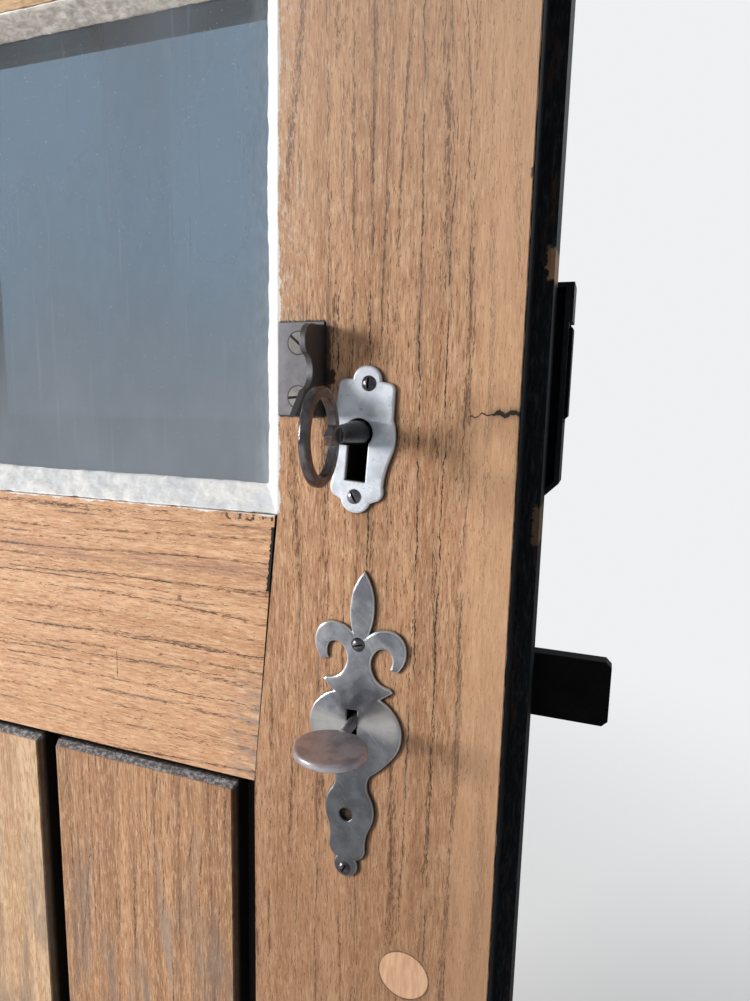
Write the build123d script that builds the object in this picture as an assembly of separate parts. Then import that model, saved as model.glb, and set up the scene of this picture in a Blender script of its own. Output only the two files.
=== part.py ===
"""Arched timber door: double-rebated frame, glazed and boarded leaf, lift-off hinges, two rim locks and keys.

The leaf is drawn closed, X to the right seen from outside, Y inwards and Z up, then swung open about its hinges.
"""
from build123d import *
import math
import os

# Frame
FRAME_REACH = 52.0  # from the edge of the leaf to the outside of the frame
FRAME_FRONT = -44.0
STOP_LAP = 10.0  # how far the stop covers the edge of the leaf
ARRIS = 3.0
SILL_NOSE_Y = -59.0
SILL_NOSE_FOOT = 20.0
SILL_NOSE_TOP = 33.0
SILL_HEIGHT = 28.0
SILL_UPSTAND = 40.0
DRIP_RADIUS = 3.0
FRAME_TENON = 18.0
FRAME_TENON_WIDTH = 30.0
DOWEL_RADIUS = 6.0
DOWEL_LENGTH = 80.0
DOWEL_DEPTHS = (-24.0, 24.0)
SEGMENT_ANGLE = 60.0
FIXING_RADIUS = 4.0
FIXING_Y = -24.0
FIXING_HEIGHTS = (350.0, 1350.0)
FIXING_SINK_RADIUS = 8.0
FIXING_SINK_DEPTH = 14.0

# Leaf outline
LEAF_HALF = 361.0
LIP = 9.0
FRONT_THICKNESS = 23.0
LIP_THICKNESS = 23.0
SPRING_HEIGHT = 1651.0
LEAF_FOOT = 32.0
LEAF_ARRIS = 0.8

# Running gaps between the leaf and its frame
EDGE_GAP = 3.0
FACE_GAP = 2.0
STEP_GAP = 1.0

# Leaf layout
FACE_Y = 1.0
RABBET_DEPTH = 15.5
RABBET_WIDTH = 12.0
PANEL_STILE = 137.0
GLAZED_STILE = 122.5
BOTTOM_RAIL = 220.0
LOCK_RAIL_FOOT = 953.0
LOCK_RAIL = 154.0
RAIL_RABBET = 15.7
SHOULDER_GAP_TOP = 1.4
SHOULDER_GAP_FOOT = 0.2
TENON_LENGTH = 90.0
TENON_THICKNESS = 14.0
TENON_INSET = 16.0
LOCK_TENON_FOOT = 70.0
TENON_GAP = 0.2
ARCH_TONGUE_LENGTH = 30.0
ARCH_TONGUE_WIDTH = 50.0

# Boards
BOARD_RECESS = 1.0
BOARD_THICKNESS = 29.0
BOARD_FIELD_DEPTH = 17.0
BOARD_GROOVE = 14.0
STILE_GROOVE = 15.0
SIDE_BOARD = 132.5
FIELD_GAP_TOP = 7.0
BEVEL_DEPTH = 4.0
BEVEL_SIDE = 1.5
BEVEL_TOP = 3.0
HOUSING_DEPTH = 12.0
HOUSING_ENGAGED = 10.0
BOARD_TONGUE = 8.0
BOARD_TONGUE_THICKNESS = 4.0

# Glazing
BAR_TONGUE = 8.0
BAR_WIDTH = 24.0
BAR_NOSE = 13.0
BAR_SHOULDER_Y = 30.0
BAR_TENON = 10.0
LOWER_PANE_HEIGHT = 270.0  # from the lock rail to the middle of the lower bar
GLASS_THICKNESS = 3.0
GLASS_GAP = 1.5
GLASS_BED = 0.5
PUTTY_RECESS = 1.0
PUTTY_NOSE = 0.8

# Sizes ending in _IN are measured in from the lock edge of the leaf, those ending in _OUT beyond it

# Round repair in the lock stile
PLUG_RADIUS = 13.7
PLUG_DEPTH = 18.0
PLUG_IN = 46.0
PLUG_HEIGHT = 859.0

# Lift-off hinges
HINGE_FOOT = 250.0
HINGE_BELOW_SPRING = 151.0
HINGE_LENGTH = 80.0
KNUCKLE_RADIUS = 7.0
KNUCKLE_STANDOFF = 0.5
KNUCKLE_GAP = 0.3
PLATE_CLEARANCE = 0.5
PIN_RADIUS = 3.5
PIN_CLEARANCE = 0.06
PIN_SEAT = 15.0
PIN_REACH = 30.0
PLATE_THICKNESS = 3.0
PLATE_WIDTH = 33.0
LEAF_PLATE_START = 7.0
HINGE_AXIS_INSET = 1.5
PLATE_SCREW_SPACING = 54.0
REST_ANGLE = 90.0

# Screws
SCREW_RADIUS = 2.0
SCREW_HEAD_RADIUS = 4.0
SCREW_LENGTH = 22.0
SLOT_WIDTH = 1.1
SLOT_DEPTH = 1.1

# Rim locks
CASE_DEPTH = 20.0
CASE_WALL = 2.5
CASE_SCREW_INSET = 9.0
MOUTH_GAP = 0.3
BIT_REACH = 22.0
BIT_THICKNESS = 3.2
TAIL_LIFT = 19.0
NOTCH_MARGIN = 3.2
NOTCH_DEPTH = 3.6
SPRING_THICKNESS = 1.0
SPRING_WIDTH = 8.0
SPRING_SPAN = 3.2  # length of a bowed spring over its rise

UPPER_AXIS_IN = 77.0
UPPER_AXIS_ABOVE_RAIL = 45.0
UPPER_CASE_IN = 121.0
UPPER_CASE_OUT = 15.6
UPPER_SPRING_IN = 51.0
UPPER_CASE_BELOW = 38.5  # from the key's axis
UPPER_CASE_ABOVE = 76.0
UPPER_CASE_EAR = 1.5
UPPER_CASE_SLANT = 14.0
UPPER_BOLT_LIFT = 7.0  # from the key's axis to its foot
UPPER_BOLT_HEIGHT = 50.0
UPPER_BOLT_OUT = 17.5
UPPER_BOLT_HEAD = 66.0
UPPER_BOLT_TAIL = 132.0
UPPER_BOLT_TRAVEL = 30.0
UPPER_BOLT_Y = 51.0
UPPER_BOLT_THICKNESS = 12.0

LOWER_AXIS_IN = 78.0
LOWER_AXIS_ABOVE_FOOT = 47.0  # from the foot of the lock rail
LOWER_CASE_IN = 121.0
LOWER_CASE_OUT = 7.0
LOWER_SPRING_IN = 56.0
LOWER_CASE_BELOW = 40.0
LOWER_CASE_ABOVE = 70.0
LOWER_BOLT_LIFT = -2.0
LOWER_BOLT_HEIGHT = 36.0
LOWER_BOLT_OUT = 48.7
LOWER_BOLT_HEAD = 66.0
LOWER_BOLT_TAIL = 126.0
LOWER_BOLT_TRAVEL = 40.0
LOWER_BOLT_Y = 50.0
LOWER_BOLT_THICKNESS = 8.0
BOLT_CORNER = 3.0
KEY_TURN = 270.0

KEEPER_AWAY = 11.0  # from the edge of the lip
KEEPER_WALL = 2.5
KEEPER_GAP = 1.5
KEEPER_FOOT = 15.0
KEEPER_FOOT_THICKNESS = 3.0

# Flush plate with its lug
FLUSH_IN = 121.8
FLUSH_WIDTH = 25.1
FLUSH_ABOVE_AXIS = 7.4
FLUSH_HEIGHT = 46.0
FLUSH_THICKNESS = 2.0
FLUSH_PROUD = 0.6
LUG_THICKNESS = 3.0
LUG_EDGE = ((31.1, 0.7), (20.8, 12.6), (13.0, 24.0), (19.2, 30.0), (20.4, 39.0), (12.4, 43.6))  # out, up
LUG_TOP = 44.2
FLUSH_SCREW_IN = 110.7
FLUSH_SCREW_LIFTS = (35.9, 9.3)
FLUSH_SCREW_HEAD = 5.6
FLUSH_SLOT_ANGLES = (-40.0, 5.0)

# Escutcheons
ESCUTCHEON_THICKNESS = 2.2
ESCUTCHEON_BEVEL = 0.7
UPPER_PLATE_IN = 75.9
UPPER_PLATE_LIFT = -3.8  # from the key's axis, as all the lifts below
UPPER_PLATE_TILT = -5.0
UPPER_HOLE_RADIUS = 7.2
UPPER_SLOT_WIDTH = 11.0
UPPER_SLOT_DEPTH = 24.0
UPPER_SLOT_TILT = -4.0
UPPER_SCREWS = ((72.3, 23.9, 84.0), (78.9, -31.5, -60.0))  # in, lift, angle of the slot
FLEUR_TIP_IN = 72.7
FLEUR_TIP_LIFT = 82.8
FLEUR_TILT = -2.6
FLEUR_HOLE_RADIUS = 3.85
FLEUR_HOLE_IN = 80.4
FLEUR_HOLE_LIFT = -52.5
LOWER_SLOT_WIDTH = 6.1
LOWER_SLOT_TOP = 8.0
LOWER_SLOT_FOOT = 25.0
FLEUR_SCREWS = ((75.2, 44.0, 15.0), (80.8, -84.3, 65.0))
DOME_RADIUS = 3.8
DOME_HEIGHT = 1.7
DOME_SHANK_RADIUS = 1.7
DOME_SCREW_LENGTH = 14.0

# Keys
UPPER_SHANK_RADIUS = 4.5
UPPER_COLLAR_RADIUS = 6.4
UPPER_NECK_RADIUS = 4.2
UPPER_BOW_START = 30.0
UPPER_BOW_LENGTH = 36.0
UPPER_BOW_HEIGHT = 43.0
UPPER_BOW_BAR = 4.5
UPPER_BOW_THICKNESS = 4.0
UPPER_CUSP = 5.5
UPPER_NOSE_RADIUS = 3.0
LOWER_SHANK_RADIUS = 2.9
LOWER_BOW_START = 13.0
LOWER_BOW_LENGTH = 34.0
LOWER_BOW_WIDTH = 37.0
LOWER_BOW_THICKNESS = 4.5
LOWER_NOSE_RADIUS = 2.4
NOSE_CLEARANCE = 0.1
NOSE_LENGTH = 2.0
BIT_SIDE_GAP = 1.0
WARD_CUT = 2.0
WARD_DEPTH = 9.0

# Places that follow from the sizes above
FRAME_OUTER = LEAF_HALF + FRAME_REACH
RABBET_Y = FACE_Y + RABBET_DEPTH
LIP_Y = FACE_Y + FRONT_THICKNESS
LEAF_BACK = LIP_Y + LIP_THICKNESS
STOP_Y = FACE_Y - FACE_GAP
STEP_Y = LIP_Y - STEP_GAP
FRAME_BACK = LEAF_BACK - STEP_GAP
STOP_HALF = LEAF_HALF - STOP_LAP
POCKET_HALF = LEAF_HALF + EDGE_GAP
LIP_HALF = LEAF_HALF + LIP
LIP_POCKET = LIP_HALF + EDGE_GAP
PANEL_HALF = LEAF_HALF - PANEL_STILE
GLAZED_HALF = LEAF_HALF - GLAZED_STILE
SIGHT_HALF = GLAZED_HALF - RABBET_WIDTH
BOTTOM_RAIL_TOP = LEAF_FOOT + BOTTOM_RAIL
LOCK_RAIL_TOP = LOCK_RAIL_FOOT + LOCK_RAIL
LOCK_RAIL_BACK = LOCK_RAIL_TOP + RAIL_RABBET
TENON_Y = LIP_Y
HINGE_X = -LIP_HALF - HINGE_AXIS_INSET
HINGE_Y = LEAF_BACK + KNUCKLE_STANDOFF + KNUCKLE_RADIUS
BOARD_Y = FACE_Y + BOARD_RECESS
BOARD_BACK = BOARD_Y + BOARD_THICKNESS
HOUSING_Y = BOARD_Y + BOARD_FIELD_DEPTH
GLASS_BACK = RABBET_Y - GLASS_BED
GLASS_FRONT = GLASS_BACK - GLASS_THICKNESS
CASE_BACK = LEAF_BACK + CASE_DEPTH
TENON_REACH = PANEL_HALF + TENON_LENGTH
ARCH_TONGUE_MIDDLE = (GLAZED_HALF + LEAF_HALF) / 2
DOWEL_PITCH_RADIUS = (LIP_POCKET + FRAME_OUTER) / 2
LOWER_BAR_HEIGHT = LOCK_RAIL_TOP + LOWER_PANE_HEIGHT
TOP_HINGE = SPRING_HEIGHT - HINGE_BELOW_SPRING
HINGE_HEIGHTS = (HINGE_FOOT, (HINGE_FOOT + TOP_HINGE) / 2, TOP_HINGE)
PLUG_X = LEAF_HALF - PLUG_IN
UPPER_AXIS_Z = LOCK_RAIL_TOP + UPPER_AXIS_ABOVE_RAIL
UPPER_CASE_FOOT = UPPER_AXIS_Z - UPPER_CASE_BELOW
UPPER_CASE_TOP = UPPER_AXIS_Z + UPPER_CASE_ABOVE
UPPER_BOLT_FOOT = UPPER_AXIS_Z + UPPER_BOLT_LIFT
UPPER_BOLT_TOP = UPPER_BOLT_FOOT + UPPER_BOLT_HEIGHT
LOWER_AXIS_Z = LOCK_RAIL_FOOT + LOWER_AXIS_ABOVE_FOOT
LOWER_CASE_FOOT = LOWER_AXIS_Z - LOWER_CASE_BELOW
LOWER_CASE_TOP = LOWER_AXIS_Z + LOWER_CASE_ABOVE
LOWER_BOLT_FOOT = LOWER_AXIS_Z + LOWER_BOLT_LIFT
LOWER_BOLT_TOP = LOWER_BOLT_FOOT + LOWER_BOLT_HEIGHT
FLUSH_FOOT = UPPER_AXIS_Z + FLUSH_ABOVE_AXIS
UPPER_PLATE_Z = UPPER_AXIS_Z + UPPER_PLATE_LIFT
FLEUR_TIP_Z = LOWER_AXIS_Z + FLEUR_TIP_LIFT
FLEUR_HOLE_Z = LOWER_AXIS_Z + FLEUR_HOLE_LIFT
UPPER_AXIS_X = LEAF_HALF - UPPER_AXIS_IN
UPPER_CASE_LEFT = LEAF_HALF - UPPER_CASE_IN
UPPER_CASE_RIGHT = LEAF_HALF + UPPER_CASE_OUT
UPPER_BOLT_END = LEAF_HALF + UPPER_BOLT_OUT
UPPER_SPRING_X = LEAF_HALF - UPPER_SPRING_IN
LOWER_AXIS_X = LEAF_HALF - LOWER_AXIS_IN
LOWER_CASE_LEFT = LEAF_HALF - LOWER_CASE_IN
LOWER_CASE_RIGHT = LEAF_HALF + LOWER_CASE_OUT
LOWER_BOLT_END = LEAF_HALF + LOWER_BOLT_OUT
LOWER_SPRING_X = LEAF_HALF - LOWER_SPRING_IN
KEEPER_START = LIP_HALF + KEEPER_AWAY
FLUSH_LEFT = LEAF_HALF - FLUSH_IN
FLUSH_SCREW_X = LEAF_HALF - FLUSH_SCREW_IN
UPPER_PLATE_X = LEAF_HALF - UPPER_PLATE_IN
FLEUR_TIP_X = LEAF_HALF - FLEUR_TIP_IN
FLEUR_HOLE_X = LEAF_HALF - FLEUR_HOLE_IN

LEFTWARDS = (-1, 0, 0)
OUTWARDS = (0, -1, 0)
INWARDS = (0, 1, 0)


def block(x0, x1, y0, y1, z0, z1):
    """A box between two corners."""
    return Pos(x0, y0, z0) * Box(x1 - x0, y1 - y0, z1 - z0, align=(Align.MIN, Align.MIN, Align.MIN))


def polygon(points):
    """A face with straight edges."""
    return make_face(Polyline(*points, close=True))


def slab(face, y0, y1):
    """A face drawn in X and Z, extruded from depth y0 to y1."""
    return extrude(Plane((0, y1, 0), x_dir=(1, 0, 0), z_dir=OUTWARDS) * face, amount=y1 - y0)


def post(face, z0, z1):
    """A section drawn in X and Y, extruded from height z0 to z1."""
    return extrude(Pos(0, 0, z0) * face, amount=z1 - z0)


def beam(face, x0, x1):
    """A section drawn in Y and Z, extruded from x0 to x1."""
    return extrude(Plane((x0, 0, 0), x_dir=(0, 1, 0), z_dir=(1, 0, 0)) * face, amount=x1 - x0)


def rod(radius, start, direction, length):
    """A round bar from a point along a direction."""
    return Plane(start, z_dir=direction) * Cylinder(radius, length, align=(Align.CENTER, Align.CENTER, Align.MIN))


def arch_plane(angle):
    """Radial plane of the arch: local X is the radius, local Y the depth, local Z the way round."""
    turn = math.radians(angle)
    return Plane((0, 0, SPRING_HEIGHT), x_dir=(math.cos(turn), 0, math.sin(turn)),
                 z_dir=(-math.sin(turn), 0, math.cos(turn)))


def arch_segment(section, start_angle):
    """One segment of an arch, revolved from a section of radius and depth."""
    centre = Axis((0, 0, SPRING_HEIGHT), OUTWARDS)
    return revolve(arch_plane(start_angle) * polygon(section), centre, revolution_arc=SEGMENT_ANGLE)


def half_path(start, steps):
    """Half an outline: each step is an end point, or a middle and an end point of an arc."""
    path = []
    here = start
    for step in steps:
        path.append((here,) + step)
        here = step[-1]
    return path


def path_edge(points):
    """A line through two points or an arc through three."""
    return Line(*points) if len(points) == 2 else ThreePointArc(*points)


def inward(edge, at):
    """Unit vector into the outline, whose right half runs from the top to the foot."""
    along = edge % at
    return Vector(along.Y, -along.X)


def inset_path(path, amount):
    """The same half outline, moved inwards: corners along their bisectors, arcs by their middles."""
    edges = [path_edge(points) for points in path]
    first, last = inward(edges[0], 0), inward(edges[-1], 1)
    before = [Vector(-first.X, first.Y)] + [inward(edge, 1) for edge in edges]
    after = [inward(edge, 0) for edge in edges] + [Vector(-last.X, last.Y)]
    corners = [path[0][0]] + [points[-1] for points in path]
    moved = [Vector(*corner) + (a + b) * (amount / (1 + a.dot(b))) for corner, a, b in zip(corners, before, after)]
    middles = [edge @ 0.5 + inward(edge, 0.5) * amount for edge in edges]
    inset = []
    for points, start, middle, end in zip(path, moved, middles, moved[1:]):
        kept = (start, end) if len(points) == 2 else (start, middle, end)
        inset.append(tuple((point.X, point.Y) for point in kept))
    return inset


def mirrored_face(path):
    """The face inside half an outline and its mirror image."""
    mirrored = [tuple((-x, y) for x, y in reversed(points)) for points in reversed(path)]
    return make_face(Wire([path_edge(points) for points in path + mirrored]))


def screw(head_radius=SCREW_HEAD_RADIUS, length=SCREW_LENGTH):
    """A countersunk screw, its head's face at z 0 and its shank downwards."""
    cone = head_radius - SCREW_RADIUS
    outline = [(0, 0), (head_radius, 0), (SCREW_RADIUS, -cone), (SCREW_RADIUS, -length + SCREW_RADIUS), (0, -length)]
    return revolve(Plane.XZ * polygon(outline), Axis.Z)


def dome_screw():
    """A dome-headed screw, its seat at z 0."""
    dome = make_face(Wire([
        Line((0, -DOME_SCREW_LENGTH), (DOME_SHANK_RADIUS, -DOME_SCREW_LENGTH)),
        Line((DOME_SHANK_RADIUS, -DOME_SCREW_LENGTH), (DOME_SHANK_RADIUS, 0)),
        Line((DOME_SHANK_RADIUS, 0), (DOME_RADIUS, 0)),
        ThreePointArc((DOME_RADIUS, 0), (DOME_RADIUS * 0.62, DOME_HEIGHT * 0.76), (0, DOME_HEIGHT)),
        Line((0, DOME_HEIGHT), (0, -DOME_SCREW_LENGTH)),
    ]))
    return revolve(Plane.XZ * dome, Axis.Z)


def slotted(fastener, top, angle):
    """The same fastener with a screwdriver slot across its head."""
    slot = Pos(0, 0, top) * Box(4 * SCREW_HEAD_RADIUS, SLOT_WIDTH, 2 * SLOT_DEPTH)
    return fastener - Rot(0, 0, angle) * slot


def on_face(x, y, z, direction):
    """Place for a fastener whose head looks along the direction."""
    return Plane((x, y, z), x_dir=(1, 0, 0), z_dir=direction)


def group(solids):
    """Like fasteners in one node."""
    return Compound(children=list(solids))


# Frame

def frame_section():
    """Radius and depth of the double-rebated frame: stop, pocket for the front, pocket for the lip."""
    return [
        (STOP_HALF + ARRIS, FRAME_FRONT), (STOP_HALF, FRAME_FRONT + ARRIS), (STOP_HALF, STOP_Y),
        (POCKET_HALF, STOP_Y), (POCKET_HALF, STEP_Y), (LIP_POCKET, STEP_Y),
        (LIP_POCKET, FRAME_BACK), (FRAME_OUTER, FRAME_BACK), (FRAME_OUTER, FRAME_FRONT),
    ]


def frame_dowel(angle, depth):
    """A dowel across the joint of two arch segments, or of a segment and its post."""
    along = arch_plane(angle) * Pos(DOWEL_PITCH_RADIUS, depth, 0)
    return along * Cylinder(DOWEL_RADIUS, DOWEL_LENGTH)


def frame_dowels():
    angles = [SEGMENT_ANGLE * step for step in range(int(180 / SEGMENT_ANGLE) + 1)]
    return [frame_dowel(angle, depth) for angle in angles for depth in DOWEL_DEPTHS]


def sill_tenon():
    """Stub tenon of the right post, which stands in the threshold."""
    middle = (LIP_POCKET + FRAME_OUTER) / 2
    half = FRAME_TENON_WIDTH / 2
    return block(middle - half, middle + half, STOP_Y, STEP_Y, SILL_HEIGHT - FRAME_TENON, SILL_HEIGHT)


def jamb():
    """The right post, with its fixing holes sunk from the inside of the opening."""
    shape = post(polygon(frame_section()), SILL_HEIGHT, SPRING_HEIGHT) + sill_tenon()
    shape -= block(0, FRAME_OUTER, FRAME_FRONT, STOP_Y, 0, SILL_UPSTAND)
    for height in FIXING_HEIGHTS:
        shape -= rod(FIXING_RADIUS, (FRAME_OUTER, FIXING_Y, height), LEFTWARDS, FRAME_OUTER - STOP_HALF)
        shape -= rod(FIXING_SINK_RADIUS, (STOP_HALF + FIXING_SINK_DEPTH, FIXING_Y, height), LEFTWARDS,
                     FIXING_SINK_DEPTH)
    return shape


def threshold():
    """Hardwood sill with a weathered nose, a drip under it and an upstand behind the leaf's face."""
    section = polygon([
        (SILL_NOSE_Y + 12, 0), (FRAME_BACK, 0), (FRAME_BACK, SILL_HEIGHT), (STOP_Y, SILL_HEIGHT),
        (STOP_Y, SILL_UPSTAND), (FRAME_FRONT, SILL_UPSTAND), (SILL_NOSE_Y, SILL_NOSE_TOP),
        (SILL_NOSE_Y, SILL_NOSE_FOOT), (SILL_NOSE_Y + 12, SILL_NOSE_FOOT),
    ])
    drip = Pos(SILL_NOSE_Y + 6, SILL_NOSE_FOOT) * Circle(DRIP_RADIUS)
    shape = beam(section - drip, -FRAME_OUTER, FRAME_OUTER)
    tenon = sill_tenon()
    return shape - tenon - mirror(tenon, Plane.YZ)


# Leaf woodwork

def leaf_edge_section(inner):
    """Radius and depth of the leaf's rebated outer edge, closed at an inner radius."""
    return [
        (inner, FACE_Y), (LEAF_HALF - LEAF_ARRIS, FACE_Y), (LEAF_HALF, FACE_Y + LEAF_ARRIS), (LEAF_HALF, LIP_Y),
        (LIP_HALF, LIP_Y), (LIP_HALF, LEAF_BACK - LEAF_ARRIS), (LIP_HALF - LEAF_ARRIS, LEAF_BACK),
        (inner, LEAF_BACK),
    ]


def arch_tongue(angle, way):
    """The tongue that an arch segment has at one end, into its neighbour."""
    half = ARCH_TONGUE_WIDTH / 2
    length = ARCH_TONGUE_LENGTH * way
    box = block(ARCH_TONGUE_MIDDLE - half, ARCH_TONGUE_MIDDLE + half, TENON_Y, TENON_Y + TENON_THICKNESS,
                min(0, length), max(0, length))
    return arch_plane(angle) * box


def leaf_arch(start_angle):
    """One plain segment of the leaf's arched head, rebated inside for the glass."""
    section = leaf_edge_section(SIGHT_HALF)[1:]
    section += [(SIGHT_HALF, RABBET_Y), (GLAZED_HALF, RABBET_Y), (GLAZED_HALF, FACE_Y)]
    return arch_segment(section, start_angle)


def rail_tenon(foot, top, clearance=0.0):
    """Right tenon of a rail, or its mortise with a clearance."""
    return block(PANEL_HALF - 2, TENON_REACH + clearance, TENON_Y - clearance / 2,
                 TENON_Y + TENON_THICKNESS + clearance / 2, foot - clearance, top + clearance)


def bottom_tenon(clearance=0.0):
    return rail_tenon(LEAF_FOOT + 2 * TENON_INSET, BOTTOM_RAIL_TOP - 2 * TENON_INSET, clearance)


def lock_tenon(clearance=0.0):
    return rail_tenon(LOCK_RAIL_FOOT + LOCK_TENON_FOOT, LOCK_RAIL_TOP - TENON_INSET, clearance)


def bar_tenon(height, clearance=0.0):
    """Right stub tenon of a cross bar, or its mortise."""
    half = BAR_WIDTH / 3 + clearance
    return block(SIGHT_HALF - 1, SIGHT_HALF + BAR_TENON + clearance, TENON_Y, TENON_Y + TENON_THICKNESS,
                 height - half, height + half)


def board_housing():
    """Groove round the panel: x half width, depth and height, for cutting stiles and rails."""
    return block(-PANEL_HALF - HOUSING_DEPTH, PANEL_HALF + HOUSING_DEPTH, HOUSING_Y, BOARD_BACK,
                 BOTTOM_RAIL_TOP - HOUSING_DEPTH, LOCK_RAIL_FOOT + HOUSING_DEPTH)


def stile():
    """The right stile: wide beside the boards, narrower beside the glass, with a slanted shoulder between."""
    shape = post(polygon(leaf_edge_section(PANEL_HALF)), LEAF_FOOT, SPRING_HEIGHT)
    inside = PANEL_HALF - 1
    shape -= slab(polygon([
        (inside, LOCK_RAIL_FOOT), (PANEL_HALF, LOCK_RAIL_FOOT), (GLAZED_HALF, LOCK_RAIL_TOP),
        (GLAZED_HALF, SPRING_HEIGHT), (inside, SPRING_HEIGHT)]), FACE_Y, RABBET_Y)
    shape -= slab(polygon([
        (inside, LOCK_RAIL_FOOT), (PANEL_HALF, LOCK_RAIL_FOOT), (GLAZED_HALF, LOCK_RAIL_TOP),
        (SIGHT_HALF, LOCK_RAIL_TOP), (SIGHT_HALF, SPRING_HEIGHT), (inside, SPRING_HEIGHT)]), RABBET_Y, LEAF_BACK)
    shape -= board_housing()
    shape -= bottom_tenon(TENON_GAP)
    shape -= lock_tenon(TENON_GAP)
    for height in (LOWER_BAR_HEIGHT, SPRING_HEIGHT):
        shape -= bar_tenon(height, TENON_GAP)
    return shape - arch_tongue(0, -1)


def bottom_rail():
    shape = block(-PANEL_HALF, PANEL_HALF, FACE_Y, LEAF_BACK, LEAF_FOOT, BOTTOM_RAIL_TOP)
    shape += bottom_tenon()
    shape += mirror(bottom_tenon(), Plane.YZ)
    return shape - board_housing()


def lock_rail():
    """The middle rail, its shoulders slanted and open a little at the top."""
    foot = PANEL_HALF - SHOULDER_GAP_FOOT
    top = GLAZED_HALF - SHOULDER_GAP_TOP
    front = polygon([(-foot, LOCK_RAIL_FOOT), (foot, LOCK_RAIL_FOOT), (top, LOCK_RAIL_TOP), (-top, LOCK_RAIL_TOP)])
    back = polygon([
        (-SIGHT_HALF, LOCK_RAIL_TOP), (SIGHT_HALF, LOCK_RAIL_TOP), (SIGHT_HALF, LOCK_RAIL_BACK),
        (-SIGHT_HALF, LOCK_RAIL_BACK)])
    shape = slab(front, FACE_Y, LEAF_BACK) + slab(back, RABBET_Y, LEAF_BACK)
    shape += lock_tenon()
    shape += mirror(lock_tenon(), Plane.YZ)
    shape -= upright_tenons(TENON_GAP)
    return shape - board_housing()


def board(left, right, tongue, groove):
    """One panel board: a raised field with bevelled arrises over a wider back that meets its neighbours."""
    foot = BOTTOM_RAIL_TOP + FIELD_GAP_TOP
    top = LOCK_RAIL_FOOT - FIELD_GAP_TOP
    shape = block(left, right, BOARD_Y, HOUSING_Y, foot, top)
    for x, way in ((left, 1), (right, -1)):
        wedge = polygon([(x, BOARD_Y), (x + way * BEVEL_SIDE, BOARD_Y), (x, BOARD_Y + BEVEL_DEPTH)])
        shape -= post(wedge, foot, top)
    for z, way in ((foot, 1), (top, -1)):
        wedge = polygon([(BOARD_Y, z), (BOARD_Y, z + way * BEVEL_TOP), (BOARD_Y + BEVEL_DEPTH, z)])
        shape -= beam(wedge, left, right)
    reach = PANEL_HALF + HOUSING_ENGAGED
    back_left = left - BOARD_GROOVE / 2 if groove else -reach
    back_right = right + BOARD_GROOVE / 2 if tongue else reach
    back_foot = BOTTOM_RAIL_TOP - HOUSING_ENGAGED
    back_top = LOCK_RAIL_FOOT + HOUSING_ENGAGED
    shape += block(back_left, back_right, HOUSING_Y, BOARD_BACK, back_foot, back_top)
    middle = (HOUSING_Y + BOARD_BACK) / 2
    half = BOARD_TONGUE_THICKNESS / 2
    if tongue:
        shape += block(back_right, back_right + BOARD_TONGUE, middle - half, middle + half, back_foot, back_top)
    if groove:
        shape -= block(back_left, back_left + BOARD_TONGUE + TENON_GAP, middle - half, middle + half,
                       back_foot, back_top)
    return shape


# Glazing bars, glass and putty

def bar_section():
    """Across and depth of a glazing bar: a thin tongue between the panes, a chamfered body behind."""
    tongue = BAR_TONGUE / 2
    half = BAR_WIDTH / 2
    nose = BAR_NOSE / 2
    return [
        (-tongue, FACE_Y), (tongue, FACE_Y), (tongue, RABBET_Y), (half, RABBET_Y), (half, BAR_SHOULDER_Y),
        (nose, LEAF_BACK), (-nose, LEAF_BACK), (-half, BAR_SHOULDER_Y), (-half, RABBET_Y), (-tongue, RABBET_Y),
    ]


def upright_tenons(clearance=0.0):
    """Stub tenons of the upright bar, into the lock rail and into the crown of the arch."""
    half = BAR_WIDTH / 3 + clearance
    head = SPRING_HEIGHT + SIGHT_HALF
    depth = TENON_Y + TENON_THICKNESS
    low = block(-half, half, TENON_Y, depth, LOCK_RAIL_BACK - BAR_TENON - clearance, LOCK_RAIL_BACK + 1)
    high = block(-half, half, TENON_Y, depth, head - 1, head + BAR_TENON + clearance)
    return low + high


def upright_blank():
    """The upright bar before it is halved with the cross bars."""
    shape = post(polygon(bar_section()), LOCK_RAIL_TOP, SPRING_HEIGHT + GLAZED_HALF + 1)
    shape -= block(-BAR_WIDTH, BAR_WIDTH, RABBET_Y, LEAF_BACK, LOCK_RAIL_TOP, LOCK_RAIL_BACK)
    shape -= leaf_arch(SEGMENT_ANGLE)
    return shape + upright_tenons()


def cross_blank(height):
    """A cross bar before it is halved with the upright, its ends fitted to the stiles or the arch."""
    section = [(depth, across + height) for across, depth in bar_section()]
    shape = beam(polygon(section), -GLAZED_HALF, GLAZED_HALF)
    for x0, x1 in ((-GLAZED_HALF, -SIGHT_HALF), (SIGHT_HALF, GLAZED_HALF)):
        shape -= block(x0, x1, RABBET_Y, LEAF_BACK, height - BAR_WIDTH, height + BAR_WIDTH)
    for start in (0, 2 * SEGMENT_ANGLE):
        shape -= leaf_arch(start)
    tenon = bar_tenon(height)
    return shape + tenon + mirror(tenon, Plane.YZ)


def halved_bars():
    """The upright keeps its back and the cross bars their fronts where they cross."""
    upright = upright_blank()
    lower = cross_blank(LOWER_BAR_HEIGHT)
    upper = cross_blank(SPRING_HEIGHT)
    front = block(-BAR_WIDTH, BAR_WIDTH, FACE_Y, LIP_Y, LOCK_RAIL_FOOT, SPRING_HEIGHT + LEAF_HALF)
    back = block(-BAR_WIDTH, BAR_WIDTH, LIP_Y, LEAF_BACK, LOCK_RAIL_FOOT, SPRING_HEIGHT + LEAF_HALF)
    upright_back = upright & back
    return {
        "glazing_bar_upright": upright - (lower & front) - (upper & front),
        "glazing_bar_lower": lower - upright_back,
        "glazing_bar_upper": upper - upright_back,
    }


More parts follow.
